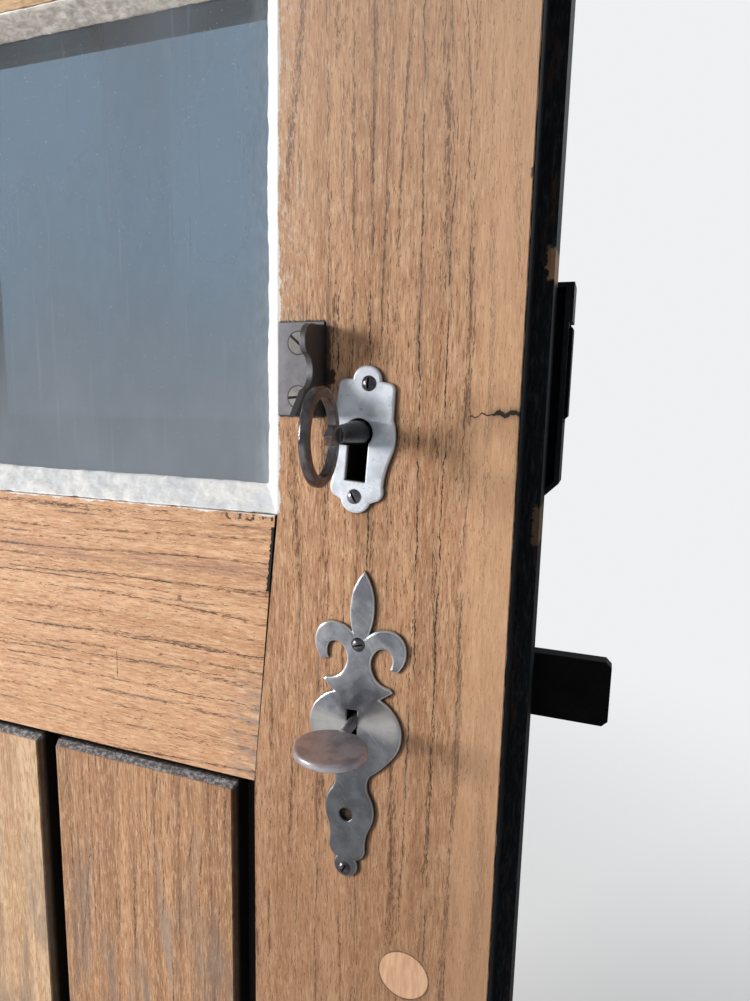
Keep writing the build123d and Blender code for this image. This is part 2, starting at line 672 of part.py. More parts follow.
def pane_face(side, foot, top, inset, sides):
    """A rectangular pane opening, pulled in by its own amount at the stile, the bar, the foot and the top."""
    stile_in, bar_in, foot_in, top_in = sides
    near = side * (BAR_TONGUE / 2 + bar_in + inset)
    far = side * (GLAZED_HALF - stile_in - inset)
    low = foot + foot_in + inset
    high = top - top_in - inset
    return polygon([(near, low), (far, low), (far, high), (near, high)])


def quarter_face(side, inset, sides):
    """A quarter-round pane opening over the springing line."""
    stile_in, bar_in, foot_in = sides
    near = BAR_TONGUE / 2 + bar_in + inset
    low = BAR_TONGUE / 2 + foot_in + inset
    radius = GLAZED_HALF - stile_in - inset
    end_x = math.sqrt(radius ** 2 - low ** 2)
    end_z = math.sqrt(radius ** 2 - near ** 2)
    turn = (math.atan2(low, end_x) + math.atan2(end_z, near)) / 2
    middle = (side * radius * math.cos(turn), radius * math.sin(turn))
    outline = Wire([
        Line((side * near, low), (side * end_x, low)),
        ThreePointArc((side * end_x, low), middle, (side * near, end_z)),
        Line((side * near, end_z), (side * near, low)),
    ])
    return Pos(0, SPRING_HEIGHT) * make_face(outline)


def at_depth(face, depth):
    """A face drawn in X and Z, placed at a depth."""
    return Plane((0, depth, 0), x_dir=(1, 0, 0), z_dir=OUTWARDS) * face


def putty_ring(outer, nose, sight):
    """A bevelled fillet of putty: full at the glass, thin at the face."""
    front = FACE_Y + PUTTY_RECESS
    opening = loft([at_depth(nose, front), at_depth(sight, GLASS_FRONT)], ruled=True)
    return slab(outer, front, GLASS_FRONT) - opening


def glazing():
    """Six panes and their putty, from the two rows and the arched head."""
    tongue = BAR_TONGUE / 2
    bar_putty = (BAR_WIDTH - BAR_TONGUE) / 2
    rows = {
        "lower": (LOCK_RAIL_TOP, LOWER_BAR_HEIGHT - tongue, RAIL_RABBET),
        "middle": (LOWER_BAR_HEIGHT + tongue, SPRING_HEIGHT - tongue, bar_putty),
    }
    nodes = {}
    none = (0, 0, 0, 0)
    for side, hand in ((-1, "left"), (1, "right")):
        for row, (foot, top, foot_putty) in rows.items():
            sides = (RABBET_WIDTH, bar_putty, foot_putty, bar_putty)
            outer = pane_face(side, foot, top, 0, none)
            nose = pane_face(side, foot, top, PUTTY_NOSE, none)
            sight = pane_face(side, foot, top, 0, sides)
            glass = pane_face(side, foot, top, GLASS_GAP, none)
            nodes[f"pane_{row}_{hand}"] = slab(glass, GLASS_FRONT, GLASS_BACK)
            nodes[f"putty_{row}_{hand}"] = putty_ring(outer, nose, sight)
        outer = quarter_face(side, 0, (0, 0, 0))
        nose = quarter_face(side, PUTTY_NOSE, (0, 0, 0))
        sight = quarter_face(side, 0, (RABBET_WIDTH, bar_putty, bar_putty))
        glass = quarter_face(side, GLASS_GAP, (0, 0, 0))
        nodes[f"pane_arch_{hand}"] = slab(glass, GLASS_FRONT, GLASS_BACK)
        nodes[f"putty_arch_{hand}"] = putty_ring(outer, nose, sight)
    return nodes


# Hinges

def hinge_pin(height):
    """The pin, fast in the frame's knuckle and free in the leaf's."""
    start = height - PIN_SEAT
    return rod(PIN_RADIUS, (HINGE_X, HINGE_Y, start), (0, 0, 1), PIN_SEAT + PIN_REACH)


def knuckle(z0, z1):
    return rod(KNUCKLE_RADIUS, (HINGE_X, HINGE_Y, z0), (0, 0, 1), z1 - z0)


def hinge_frame_plate(height):
    """Fixed half: a plate on the frame's inner face and the lower knuckle, with the pin's seat."""
    foot = height - HINGE_LENGTH / 2
    outer = HINGE_X - KNUCKLE_RADIUS - PLATE_CLEARANCE
    far = max(-FRAME_OUTER + 1, outer - PLATE_WIDTH)
    plate_top = FRAME_BACK + PLATE_THICKNESS
    shape = block(far, outer, FRAME_BACK, plate_top, foot, height + HINGE_LENGTH / 2)
    shape += block(outer - 1, HINGE_X, HINGE_Y - KNUCKLE_RADIUS, HINGE_Y - KNUCKLE_RADIUS + PLATE_THICKNESS,
                   foot, height - KNUCKLE_GAP / 2)
    shape += knuckle(foot, height - KNUCKLE_GAP / 2)
    return shape - hinge_pin(height)


def hinge_leaf_plate(height):
    """Lift-off half: a plate on the leaf's inner face and the upper knuckle, bored to run on the pin."""
    head = height + HINGE_LENGTH / 2
    start = -LIP_HALF + LEAF_PLATE_START
    plate_top = LEAF_BACK + PLATE_THICKNESS
    shape = block(start, start + PLATE_WIDTH, LEAF_BACK, plate_top, height - HINGE_LENGTH / 2, head)
    shape += block(HINGE_X, start + 1, HINGE_Y - KNUCKLE_RADIUS, plate_top, height + KNUCKLE_GAP / 2, head)
    shape += knuckle(height + KNUCKLE_GAP / 2, head)
    bore = PIN_REACH + 1 + KNUCKLE_GAP
    return shape - rod(PIN_RADIUS + PIN_CLEARANCE, (HINGE_X, HINGE_Y, height - 1), (0, 0, 1), bore)


def hinge_screw_places(x, y):
    half = PLATE_SCREW_SPACING / 2
    return [on_face(x, y, height + way * half, INWARDS) for height in HINGE_HEIGHTS for way in (-1, 1)]


# Locks

def case_hollow(outline, inset):
    """The inside of a lock case, open towards the wood."""
    return slab(offset(outline, -inset, kind=Kind.INTERSECTION), LEAF_BACK, CASE_BACK - CASE_WALL)


def upper_case_outline():
    """Case with a small ear at the top of its edge and a slanted corner at the foot."""
    return polygon([
        (UPPER_CASE_LEFT, UPPER_CASE_FOOT), (UPPER_CASE_RIGHT - UPPER_CASE_SLANT, UPPER_CASE_FOOT),
        (UPPER_CASE_RIGHT, UPPER_CASE_FOOT + UPPER_CASE_SLANT), (UPPER_CASE_RIGHT, UPPER_CASE_TOP),
        (UPPER_CASE_LEFT, UPPER_CASE_TOP)])


def lower_case_outline():
    return polygon([
        (LOWER_CASE_LEFT, LOWER_CASE_FOOT), (LOWER_CASE_RIGHT, LOWER_CASE_FOOT),
        (LOWER_CASE_RIGHT, LOWER_CASE_TOP), (LOWER_CASE_LEFT, LOWER_CASE_TOP)])


def upper_case():
    shape = slab(upper_case_outline(), LEAF_BACK, CASE_BACK)
    shape += block(UPPER_CASE_RIGHT - 1, UPPER_CASE_RIGHT + UPPER_CASE_EAR, LEAF_BACK, CASE_BACK,
                   UPPER_BOLT_TOP + MOUTH_GAP, UPPER_CASE_TOP)
    shape -= case_hollow(upper_case_outline(), CASE_WALL)
    shape -= block(UPPER_CASE_RIGHT - 2 * CASE_WALL, UPPER_CASE_RIGHT + 1, UPPER_BOLT_Y - MOUTH_GAP,
                   UPPER_BOLT_Y + UPPER_BOLT_THICKNESS + MOUTH_GAP, UPPER_BOLT_FOOT - MOUTH_GAP,
                   UPPER_BOLT_TOP + MOUTH_GAP)
    return shape - rod(UPPER_NOSE_RADIUS + NOSE_CLEARANCE, (UPPER_AXIS_X, CASE_BACK, UPPER_AXIS_Z), OUTWARDS,
                       CASE_WALL)


def lower_case():
    shape = slab(lower_case_outline(), LEAF_BACK, CASE_BACK)
    shape -= case_hollow(lower_case_outline(), CASE_WALL)
    shape -= block(LOWER_CASE_RIGHT - 2 * CASE_WALL, LOWER_CASE_RIGHT + 1, LOWER_BOLT_Y - MOUTH_GAP,
                   LOWER_BOLT_Y + LOWER_BOLT_THICKNESS + MOUTH_GAP, LOWER_BOLT_FOOT - MOUTH_GAP,
                   LOWER_BOLT_TOP + MOUTH_GAP)
    return shape - rod(LOWER_NOSE_RADIUS + NOSE_CLEARANCE, (LOWER_AXIS_X, CASE_BACK, LOWER_AXIS_Z), OUTWARDS,
                       CASE_WALL)


def bit_path(turn_from_down, travel):
    """How far the key's tip stands beside its axis, measured on the moving bolt."""
    turn = math.radians(turn_from_down)
    return -BIT_REACH * math.sin(turn) - travel * turn_from_down / KEY_TURN


def bolt(end, head, tail, foot, top, axis_x, axis_z, travel, y, thickness, thrown):
    """A bolt: a full-height head, and a thinner tail above the key with the notch that the bit works in."""
    tail_foot = axis_z + TAIL_LIFT
    left = end - tail
    shape = block(end - head, end, y, y + thickness, foot, top)
    shape += block(left, end - head + 1, y, y + thickness, tail_foot, top)
    half_entry = math.degrees(math.acos(TAIL_LIFT / BIT_REACH))
    shift = travel if thrown else 0.0
    ends = [axis_x + shift + bit_path(180 + way * half_entry, travel) for way in (-1, 1)]
    shape -= block(min(ends) - NOTCH_MARGIN, max(ends) + NOTCH_MARGIN, y, y + thickness, tail_foot,
                   tail_foot + NOTCH_DEPTH)
    corners = [edge for edge in shape.edges().filter_by(Axis.Y) if abs(edge.center().X - end) < 0.01]
    return chamfer(corners, BOLT_CORNER)


def upper_bolt():
    return bolt(UPPER_BOLT_END, UPPER_BOLT_HEAD, UPPER_BOLT_TAIL, UPPER_BOLT_FOOT, UPPER_BOLT_TOP, UPPER_AXIS_X,
                UPPER_AXIS_Z, UPPER_BOLT_TRAVEL, UPPER_BOLT_Y, UPPER_BOLT_THICKNESS, thrown=False)


def lower_bolt():
    return bolt(LOWER_BOLT_END, LOWER_BOLT_HEAD, LOWER_BOLT_TAIL, LOWER_BOLT_FOOT, LOWER_BOLT_TOP, LOWER_AXIS_X,
                LOWER_AXIS_Z, LOWER_BOLT_TRAVEL, LOWER_BOLT_Y, LOWER_BOLT_THICKNESS, thrown=True)


def bolt_spring(x, seat, top, y):
    """A bowed strip between the bolt's upper edge and the case."""
    rise = top - seat - SPRING_THICKNESS
    span = SPRING_SPAN * rise
    low = seat + MOUTH_GAP
    outer = ThreePointArc((x - span / 2, low + SPRING_THICKNESS), (x, top), (x + span / 2, low + SPRING_THICKNESS))
    inner = ThreePointArc((x - span / 2, low), (x, top - SPRING_THICKNESS), (x + span / 2, low))
    strip = make_face(Wire([
        outer, inner, Line((x - span / 2, low), (x - span / 2, low + SPRING_THICKNESS)),
        Line((x + span / 2, low), (x + span / 2, low + SPRING_THICKNESS))]))
    return slab(strip, y, y + SPRING_WIDTH)


def case_screw_places(left, right, foot, top):
    inset = CASE_SCREW_INSET
    corners = [(left + inset, foot + inset), (left + inset, top - inset),
               (right - 2 * inset, foot + inset), (right - 2 * inset, top - inset)]
    return [on_face(x, CASE_BACK, z, INWARDS) for x, z in corners]


def keeper(foot, top, bolt_y, thickness):
    """A box staple on the frame, open towards the leaf, with a foot above and below."""
    low = foot - KEEPER_GAP
    high = top + KEEPER_GAP
    inner = bolt_y + thickness + KEEPER_GAP
    shape = block(KEEPER_START, FRAME_OUTER, FRAME_BACK, inner + KEEPER_WALL, low - KEEPER_WALL, high + KEEPER_WALL)
    shape -= block(KEEPER_START, FRAME_OUTER - KEEPER_WALL, FRAME_BACK, inner, low, high)
    shape += block(KEEPER_START, FRAME_OUTER, FRAME_BACK, FRAME_BACK + KEEPER_FOOT_THICKNESS,
                   low - KEEPER_WALL - KEEPER_FOOT, low - KEEPER_WALL)
    shape += block(KEEPER_START, FRAME_OUTER, FRAME_BACK, FRAME_BACK + KEEPER_FOOT_THICKNESS, high + KEEPER_WALL,
                   high + KEEPER_WALL + KEEPER_FOOT)
    return shape


def keeper_screw_places(foot, top):
    away = KEEPER_GAP + KEEPER_WALL + KEEPER_FOOT / 2
    x = (KEEPER_START + FRAME_OUTER) / 2
    y = FRAME_BACK + KEEPER_FOOT_THICKNESS
    return [on_face(x, y, z, INWARDS) for z in (foot - away, top + away)]


# Keyholes and plates on the face

def upper_keyhole(y0, y1):
    """Round hole with a wide slot that leans a little."""
    hole = rod(UPPER_HOLE_RADIUS, (UPPER_AXIS_X, y1, UPPER_AXIS_Z), OUTWARDS, y1 - y0)
    slot = Rectangle(UPPER_SLOT_WIDTH, UPPER_SLOT_DEPTH, align=(Align.CENTER, Align.MAX))
    return hole + slab(Pos(UPPER_AXIS_X, UPPER_AXIS_Z) * Rot(0, 0, UPPER_SLOT_TILT) * slot, y0, y1)


def lower_keyhole(y0, y1):
    """Upright slot, square at the top and the foot."""
    height = LOWER_SLOT_TOP + LOWER_SLOT_FOOT
    middle = LOWER_AXIS_Z + (LOWER_SLOT_TOP - LOWER_SLOT_FOOT) / 2
    return slab(Pos(LOWER_AXIS_X, middle) * Rectangle(LOWER_SLOT_WIDTH, height), y0, y1)


def upper_plate_outline():
    """Small plate with a lobe at top and foot, square shoulders and bulging sides."""
    return half_path((0, 36.3), [
        ((5.4, 34.2), (7.3, 29.5)),
        ((12.2, 28.9),),
        ((14.0, 27.6), (14.6, 25.0)),
        ((15.2, 12.0),),
        ((17.3, 3.4), (15.9, -6.5)),
        ((14.2, -13.6), (13.5, -21.5)),
        ((13.5, -26.4), (11.6, -28.6)),
        ((7.8, -30.3),),
        ((5.4, -34.2), (0, -36.1)),
    ])


def fleur_outline():
    """A lily with a pointed petal, two curls and barbs, over a round body, a waist, a bell and a foot lobe."""
    return half_path((0, 0), [
        ((4.2, -7.0), (6.4, -17.0)),
        ((6.2, -26.0), (4.4, -33.2)),
        ((9.0, -30.0), (14.5, -28.8)),
        ((21.6, -31.3), (24.9, -38.0)),
        ((24.1, -45.0), (20.6, -50.5)),
        ((16.8, -49.3),),
        ((18.0, -45.0), (17.0, -41.2)),
        ((13.4, -39.2), (9.6, -40.4)),
        ((6.7, -46.0), (7.6, -52.5)),
        ((11.6, -57.8), (17.5, -59.6)),
        ((19.4, -61.4),),
        ((12.9, -66.6),),
        ((20.5, -72.0), (25.2, -80.0)),
        ((25.6, -88.0), (22.5, -96.3)),
        ((16.9, -103.9), (10.6, -110.2)),
        ((9.0, -116.0), (10.6, -121.5)),
        ((13.9, -130.5), (12.4, -140.0)),
        ((10.4, -147.0), (10.4, -154.0)),
        ((9.3, -158.6), (5.6, -161.6)),
        ((5.9, -169.0), (0, -172.5)),
    ])


def bevelled_plate(path, x, z, tilt):
    """A plate on the face of the leaf, its outer arris bevelled all round."""
    outer = mirrored_face(path)
    inner = mirrored_face(inset_path(path, ESCUTCHEON_BEVEL))
    straight = ESCUTCHEON_THICKNESS - ESCUTCHEON_BEVEL
    shape = loft([outer, Pos(0, 0, straight) * outer, Pos(0, 0, ESCUTCHEON_THICKNESS) * inner], ruled=True)
    return on_face(x, FACE_Y, z, OUTWARDS) * Rot(0, 0, tilt) * shape


def upper_escutcheon():
    shape = bevelled_plate(upper_plate_outline(), UPPER_PLATE_X, UPPER_PLATE_Z, UPPER_PLATE_TILT)
    return shape - upper_keyhole(FACE_Y - ESCUTCHEON_THICKNESS, FACE_Y)


def lower_escutcheon():
    shape = bevelled_plate(fleur_outline(), FLEUR_TIP_X, FLEUR_TIP_Z, FLEUR_TILT)
    shape -= lower_keyhole(FACE_Y - ESCUTCHEON_THICKNESS, FACE_Y)
    return shape - rod(FLEUR_HOLE_RADIUS, (FLEUR_HOLE_X, FACE_Y, FLEUR_HOLE_Z), OUTWARDS, ESCUTCHEON_THICKNESS)


def flush_plate():
    """A plate let into the stile, with a lug bent out along its right edge."""
    right = FLUSH_LEFT + FLUSH_WIDTH
    top = FLUSH_FOOT + FLUSH_HEIGHT
    front = FACE_Y - FLUSH_PROUD
    shape = block(FLUSH_LEFT, right, front, front + FLUSH_THICKNESS, FLUSH_FOOT, top)
    start = (front, FLUSH_FOOT)
    end = (front, FLUSH_FOOT + LUG_TOP)
    corner, low, waist, high, swell, tip = [(front - out, FLUSH_FOOT + up) for out, up in LUG_EDGE]
    lug = make_face(Wire([
        Line(start, corner), Line(corner, low), ThreePointArc(low, waist, high), ThreePointArc(high, swell, tip),
        Line(tip, end), Line(end, start)]))
    return shape + beam(lug, right - LUG_THICKNESS, right)


def flush_recess():
    front = FACE_Y - FLUSH_PROUD
    return block(FLUSH_LEFT, FLUSH_LEFT + FLUSH_WIDTH, front, front + FLUSH_THICKNESS, FLUSH_FOOT,
                 FLUSH_FOOT + FLUSH_HEIGHT)


def flush_screws():
    places = zip(FLUSH_SCREW_LIFTS, FLUSH_SLOT_ANGLES)
    plain = screw(FLUSH_SCREW_HEAD)
    return [on_face(FLUSH_SCREW_X, FACE_Y - FLUSH_PROUD, FLUSH_FOOT + lift, OUTWARDS) * slotted(plain, 0, angle)
            for lift, angle in places]


def escutcheon_screws():
    y = FACE_Y - ESCUTCHEON_THICKNESS
    plates = ((UPPER_AXIS_Z, UPPER_SCREWS), (LOWER_AXIS_Z, FLEUR_SCREWS))
    return [on_face(LEAF_HALF - inset, y, axis + lift, OUTWARDS) * slotted(dome_screw(), DOME_HEIGHT, angle)
            for axis, places in plates for inset, lift, angle in places]


# Keys, drawn along local Z from the bow to the nose, local Y up

def key_shank(radii):
    """A turned shank from a list of heights and radii."""
    outline = [(0, radii[0][0])] + [(radius, z) for z, radius in radii] + [(0, radii[-1][0])]
    return revolve(Plane.XZ * polygon(outline), Axis.Z)


def key_bit(start, length):
    """A plate with two ward cuts, pointing down."""
    half = BIT_THICKNESS / 2
    shape = Pos(0, -BIT_REACH / 2, start + length / 2) * Box(BIT_THICKNESS, BIT_REACH, length)
    cut = Pos(0, -BIT_REACH + WARD_DEPTH / 2, start + length / 2) * Box(4 * half, WARD_DEPTH, WARD_CUT)
    return shape - cut


def key_place(x, z):
    """Local Z runs inwards from the face of the leaf, local Y points up."""
    return Plane((x, FACE_Y, z), x_dir=LEFTWARDS, z_dir=INWARDS)


def upper_key():
    """Key with an open ring bow whose inside has a cusp, and a tapered collar at the keyhole."""
    bow_end = -UPPER_BOW_START
    nose = CASE_BACK - FACE_Y - CASE_WALL
    shape = key_shank([
        (bow_end - 1, UPPER_NECK_RADIUS), (-2, UPPER_COLLAR_RADIUS), (3, UPPER_COLLAR_RADIUS),
        (5, UPPER_SHANK_RADIUS), (nose - BIT_SIDE_GAP, UPPER_SHANK_RADIUS), (nose - BIT_SIDE_GAP, UPPER_NOSE_RADIUS),
        (nose + NOSE_LENGTH, UPPER_NOSE_RADIUS)])
    bit_start = UPPER_BOLT_Y - FACE_Y
    shape += key_bit(bit_start, nose - BIT_SIDE_GAP - bit_start)
    half_height = UPPER_BOW_HEIGHT / 2
    half_length = UPPER_BOW_LENGTH / 2
    ring = Ellipse(half_height, half_length) - Ellipse(half_height - UPPER_BOW_BAR, half_length - UPPER_BOW_BAR)
    foot = half_length - UPPER_BOW_BAR / 2
    tip = half_length - UPPER_BOW_BAR - UPPER_CUSP
    wide = 1.7 * UPPER_CUSP
    hollow = (0.38 * wide, tip + 0.52 * (foot - tip))
    ring += make_face(Wire([
        Line((-wide, foot), (wide, foot)),
        ThreePointArc((wide, foot), hollow, (0, tip)),
        ThreePointArc((0, tip), (-hollow[0], hollow[1]), (-wide, foot))]))
    flat = extrude(ring, amount=UPPER_BOW_THICKNESS / 2, both=True)
    flat = fillet(flat.faces().sort_by(Axis.Z)[0].outer_wire().edges(), UPPER_BOW_THICKNESS * 0.3)
    flat = fillet(flat.faces().sort_by(Axis.Z)[-1].outer_wire().edges(), UPPER_BOW_THICKNESS * 0.3)
    upright = Plane((0, 0, bow_end - half_length), x_dir=(0, 1, 0), z_dir=(1, 0, 0))
    return key_place(UPPER_AXIS_X, UPPER_AXIS_Z) * (shape + upright * flat)


def lower_key():
    """Key with a solid oval bow lying flat, turned as it is when the bolt is thrown."""
    bow_end = -LOWER_BOW_START
    nose = CASE_BACK - FACE_Y - CASE_WALL
    shape = key_shank([
        (bow_end - 2, LOWER_SHANK_RADIUS), (nose, LOWER_SHANK_RADIUS), (nose, LOWER_NOSE_RADIUS),
        (nose + NOSE_LENGTH, LOWER_NOSE_RADIUS)])
    bit_start = LOWER_BOLT_Y - FACE_Y
    shape += key_bit(bit_start, LOWER_BOLT_THICKNESS)
    oval = extrude(Ellipse(LOWER_BOW_WIDTH / 2, LOWER_BOW_LENGTH / 2), amount=LOWER_BOW_THICKNESS / 2, both=True)
    oval = fillet(oval.edges().filter_by(GeomType.ELLIPSE), LOWER_BOW_THICKNESS * 0.35)
    upright = Plane((0, 0, bow_end - LOWER_BOW_LENGTH / 2), x_dir=(0, 1, 0), z_dir=(1, 0, 0))
    shape += upright * oval
    return key_place(LOWER_AXIS_X, LOWER_AXIS_Z) * Rot(0, 0, KEY_TURN) * shape


# Assembly

def frame_nodes():
    """Everything that stays with the wall."""
    right = jamb()
    left = mirror(right, Plane.YZ)
    dowels = frame_dowels()
    arches = [arch_segment(frame_section(), SEGMENT_ANGLE * step) for step in range(3)]
    upper = keeper(UPPER_BOLT_FOOT, UPPER_BOLT_TOP, UPPER_BOLT_Y, UPPER_BOLT_THICKNESS)
    lower = keeper(LOWER_BOLT_FOOT, LOWER_BOLT_TOP, LOWER_BOLT_Y, LOWER_BOLT_THICKNESS)
    plates = {height: hinge_frame_plate(height) for height in HINGE_HEIGHTS}
    plate_x = HINGE_X - KNUCKLE_RADIUS - PLATE_WIDTH / 2
    hinge_places = hinge_screw_places(plate_x, FRAME_BACK + PLATE_THICKNESS)
    keeper_places = keeper_screw_places(UPPER_BOLT_FOOT, UPPER_BOLT_TOP)
    keeper_places += keeper_screw_places(LOWER_BOLT_FOOT, LOWER_BOLT_TOP)
    plain = screw()
    hinge_screws = [place * plain for place in hinge_places]
    keeper_screws = [place * plain for place in keeper_places]
    for dowel in dowels:
        right -= dowel
        left -= dowel
        arches = [segment - dowel for segment in arches]
    for piece in keeper_screws:
        right -= piece
        upper -= piece
        lower -= piece
    for piece in hinge_screws:
        left -= piece
        plates = {height: plate - piece for height, plate in plates.items()}
    nodes = {
        "hinge_jamb": left,
        "lock_jamb": right,
        "frame_arch_right": arches[0],
        "frame_arch_crown": arches[1],
        "frame_arch_left": arches[2],
        "frame_dowels": group(dowels),
        "threshold": threshold(),
        "upper_keeper": upper,
        "lower_keeper": lower,
        "frame_screws": group(hinge_screws + keeper_screws),
    }
    for number, height in enumerate(HINGE_HEIGHTS, 1):
        nodes[f"hinge_frame_plate_{number}"] = plates[height]
        nodes[f"hinge_pin_{number}"] = hinge_pin(height)
    return nodes


def wood_plug():
    return rod(PLUG_RADIUS, (PLUG_X, FACE_Y + PLUG_DEPTH, PLUG_HEIGHT), OUTWARDS, PLUG_DEPTH)


def leaf_nodes():
    """Everything that swings, drawn closed."""
    lock_stile = stile()
    hinge_stile = mirror(lock_stile, Plane.YZ)
    right_arch = leaf_arch(0) + arch_tongue(0, -1) - arch_tongue(SEGMENT_ANGLE, -1)
    right_arch -= bar_tenon(SPRING_HEIGHT, TENON_GAP)
    left_arch = mirror(right_arch, Plane.YZ)
    crown = leaf_arch(SEGMENT_ANGLE) + arch_tongue(SEGMENT_ANGLE, -1) + arch_tongue(2 * SEGMENT_ANGLE, 1)
    crown -= upright_tenons(TENON_GAP)
    side_inner = PANEL_HALF - STILE_GROOVE
    middle_half = side_inner - SIDE_BOARD - BOARD_GROOVE
    rail = lock_rail()
    upper_case_solid = upper_case()
    lower_case_solid = lower_case()
    plates = {height: hinge_leaf_plate(height) for height in HINGE_HEIGHTS}
    plain = screw()
    plate_x = -LIP_HALF + LEAF_PLATE_START + PLATE_WIDTH / 2
    hinge_screws = [place * plain for place in hinge_screw_places(plate_x, LEAF_BACK + PLATE_THICKNESS)]
    case_screw = screw(length=CASE_DEPTH + SCREW_LENGTH)
    upper_places = case_screw_places(UPPER_CASE_LEFT, UPPER_CASE_RIGHT, UPPER_CASE_FOOT, UPPER_CASE_TOP)
    lower_places = case_screw_places(LOWER_CASE_LEFT, LOWER_CASE_RIGHT, LOWER_CASE_FOOT, LOWER_CASE_TOP)
    upper_screws = [place * case_screw for place in upper_places]
    lower_screws = [place * case_screw for place in lower_places]
    for piece in hinge_screws:
        hinge_stile -= piece
        plates = {height: plate - piece for height, plate in plates.items()}
    for piece in upper_screws:
        lock_stile -= piece
        upper_case_solid -= piece
    for piece in lower_screws:
        lock_stile -= piece
        rail -= piece
        lower_case_solid -= piece
    plate = flush_plate()
    plate_screws = flush_screws()
    for piece in plate_screws:
        plate -= piece
        lock_stile -= piece
    dome_screws = escutcheon_screws()
    upper_plate = upper_escutcheon()
    lower_plate = lower_escutcheon()
    for piece in dome_screws:
        upper_plate -= piece
        lower_plate -= piece
        lock_stile -= piece
    for cut in (upper_keyhole(FACE_Y, LEAF_BACK), lower_keyhole(FACE_Y, LEAF_BACK), flush_recess(), wood_plug()):
        lock_stile -= cut
    nodes = {
        "lock_stile": lock_stile,
        "hinge_stile": hinge_stile,
        "lock_rail": rail,
        "bottom_rail": bottom_rail(),
        "leaf_arch_right": right_arch,
        "leaf_arch_left": left_arch,
        "leaf_arch_crown": crown,
        "board_left": board(-side_inner, -side_inner + SIDE_BOARD, tongue=True, groove=False),
        "board_middle": board(-middle_half, middle_half, tongue=True, groove=True),
        "board_right": board(side_inner - SIDE_BOARD, side_inner, tongue=False, groove=True),
        "wood_plug": wood_plug(),
        "flush_plate": plate,
        "flush_plate_screws": group(plate_screws),
        "upper_escutcheon": upper_plate,
        "lower_escutcheon": lower_plate,
        "escutcheon_screws": group(dome_screws),
        "upper_lock_case": upper_case_solid,
        "lower_lock_case": lower_case_solid,
        "upper_bolt": upper_bolt(),
        "lower_bolt": lower_bolt(),
        "upper_bolt_spring": bolt_spring(UPPER_SPRING_X, UPPER_BOLT_TOP, UPPER_CASE_TOP - CASE_WALL, UPPER_BOLT_Y),
        "lower_bolt_spring": bolt_spring(LOWER_SPRING_X, LOWER_BOLT_TOP, LOWER_CASE_TOP - CASE_WALL, LOWER_BOLT_Y),
        "upper_key": upper_key(),
        "lower_key": lower_key(),
        "leaf_screws": group(hinge_screws + upper_screws + lower_screws),
    }
    nodes.update(halved_bars())
    nodes.update(glazing())
    for number, height in enumerate(HINGE_HEIGHTS, 1):
        nodes[f"hinge_leaf_plate_{number}"] = plates[height]
    return nodes


def opened(shape):
    """The leaf's closed drawing, swung to the pose in which the door stands open."""
    swing = Pos(HINGE_X, HINGE_Y, 0) * Rot(0, 0, REST_ANGLE) * Pos(-HINGE_X, -HINGE_Y, 0)
    return swing * shape


os.makedirs("parts", exist_ok=True)
for name, shape in frame_nodes().items():
    export_step(shape, f"parts/{name}.step")
for name, shape in leaf_nodes().items():
    export_step(opened(shape), f"parts/{name}.step")
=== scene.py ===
"""Looks of the arched door: materials, weathered details, light and camera around the CAD part. Metres."""

import math

import bpy
from mathutils import Matrix, Vector, noise as solid_noise


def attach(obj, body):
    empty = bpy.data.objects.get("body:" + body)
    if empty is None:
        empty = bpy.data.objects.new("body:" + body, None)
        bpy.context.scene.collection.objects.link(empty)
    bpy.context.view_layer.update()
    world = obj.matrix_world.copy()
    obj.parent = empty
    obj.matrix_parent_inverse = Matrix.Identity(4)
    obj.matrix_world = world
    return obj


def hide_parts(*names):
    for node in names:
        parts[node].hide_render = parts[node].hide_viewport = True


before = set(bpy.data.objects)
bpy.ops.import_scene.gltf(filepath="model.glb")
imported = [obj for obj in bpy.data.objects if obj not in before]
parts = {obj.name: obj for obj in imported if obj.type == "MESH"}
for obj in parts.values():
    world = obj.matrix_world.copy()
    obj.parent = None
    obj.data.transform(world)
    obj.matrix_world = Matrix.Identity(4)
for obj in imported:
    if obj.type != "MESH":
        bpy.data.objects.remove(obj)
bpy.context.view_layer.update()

# Where the leaf stands at rest, open. Its own drawing is of the closed door: x across, y inwards, z up
FACE_X = -0.317
LEAF_MIDDLE = 0.426

# Places in that drawing
LEAF_FRONT = 0.001
LOCK_EDGE = 0.361
STILE_START = 0.224
GLASS_EDGE = 0.2385
SPRING = 1.651
RAIL_FOOT = 0.953
RAIL_MIDDLE = 1.03
RAIL_TOP = 1.107
KNOT_Z = 1.1615
PLUG = (0.315, 0.859)
FLEUR_KEYHOLE = (0.284, 1.0)
FLEUR_HOLE = (0.2806, 0.9475)
FLEUR_HOLE_HALF = 0.0043
FLUSH_SCREW_X = 0.2503
FLUSH_SCREW_HEAD = 0.0056
SLOT_HALF = 0.0006
# Each screw of the flush plate: x, z and the angle of its slot
FLUSH_SCREWS = ((FLUSH_SCREW_X, 1.1953, math.radians(-40.0)), (FLUSH_SCREW_X, 1.1687, math.radians(5.0)))

PANES = [f"{place}_{side}" for place in ("lower", "middle", "arch") for side in ("left", "right")]
TIMBER_SHINE = 0.3
BLACK = "0b0806"


# Node helpers

def add(tree, kind, **settings):
    made = tree.nodes.new(kind)
    for key, value in settings.items():
        setattr(made, key, value)
    return made


def put(tree, socket, value):
    """Links a socket, or sets a plain value."""
    if isinstance(value, bpy.types.NodeSocket):
        tree.links.new(value, socket)
    elif value is not None:
        socket.default_value = value


def calc(tree, operation, *values):
    made = add(tree, "ShaderNodeMath", operation=operation)
    for socket, value in zip(made.inputs, values):
        put(tree, socket, value)
    return made.outputs[0]


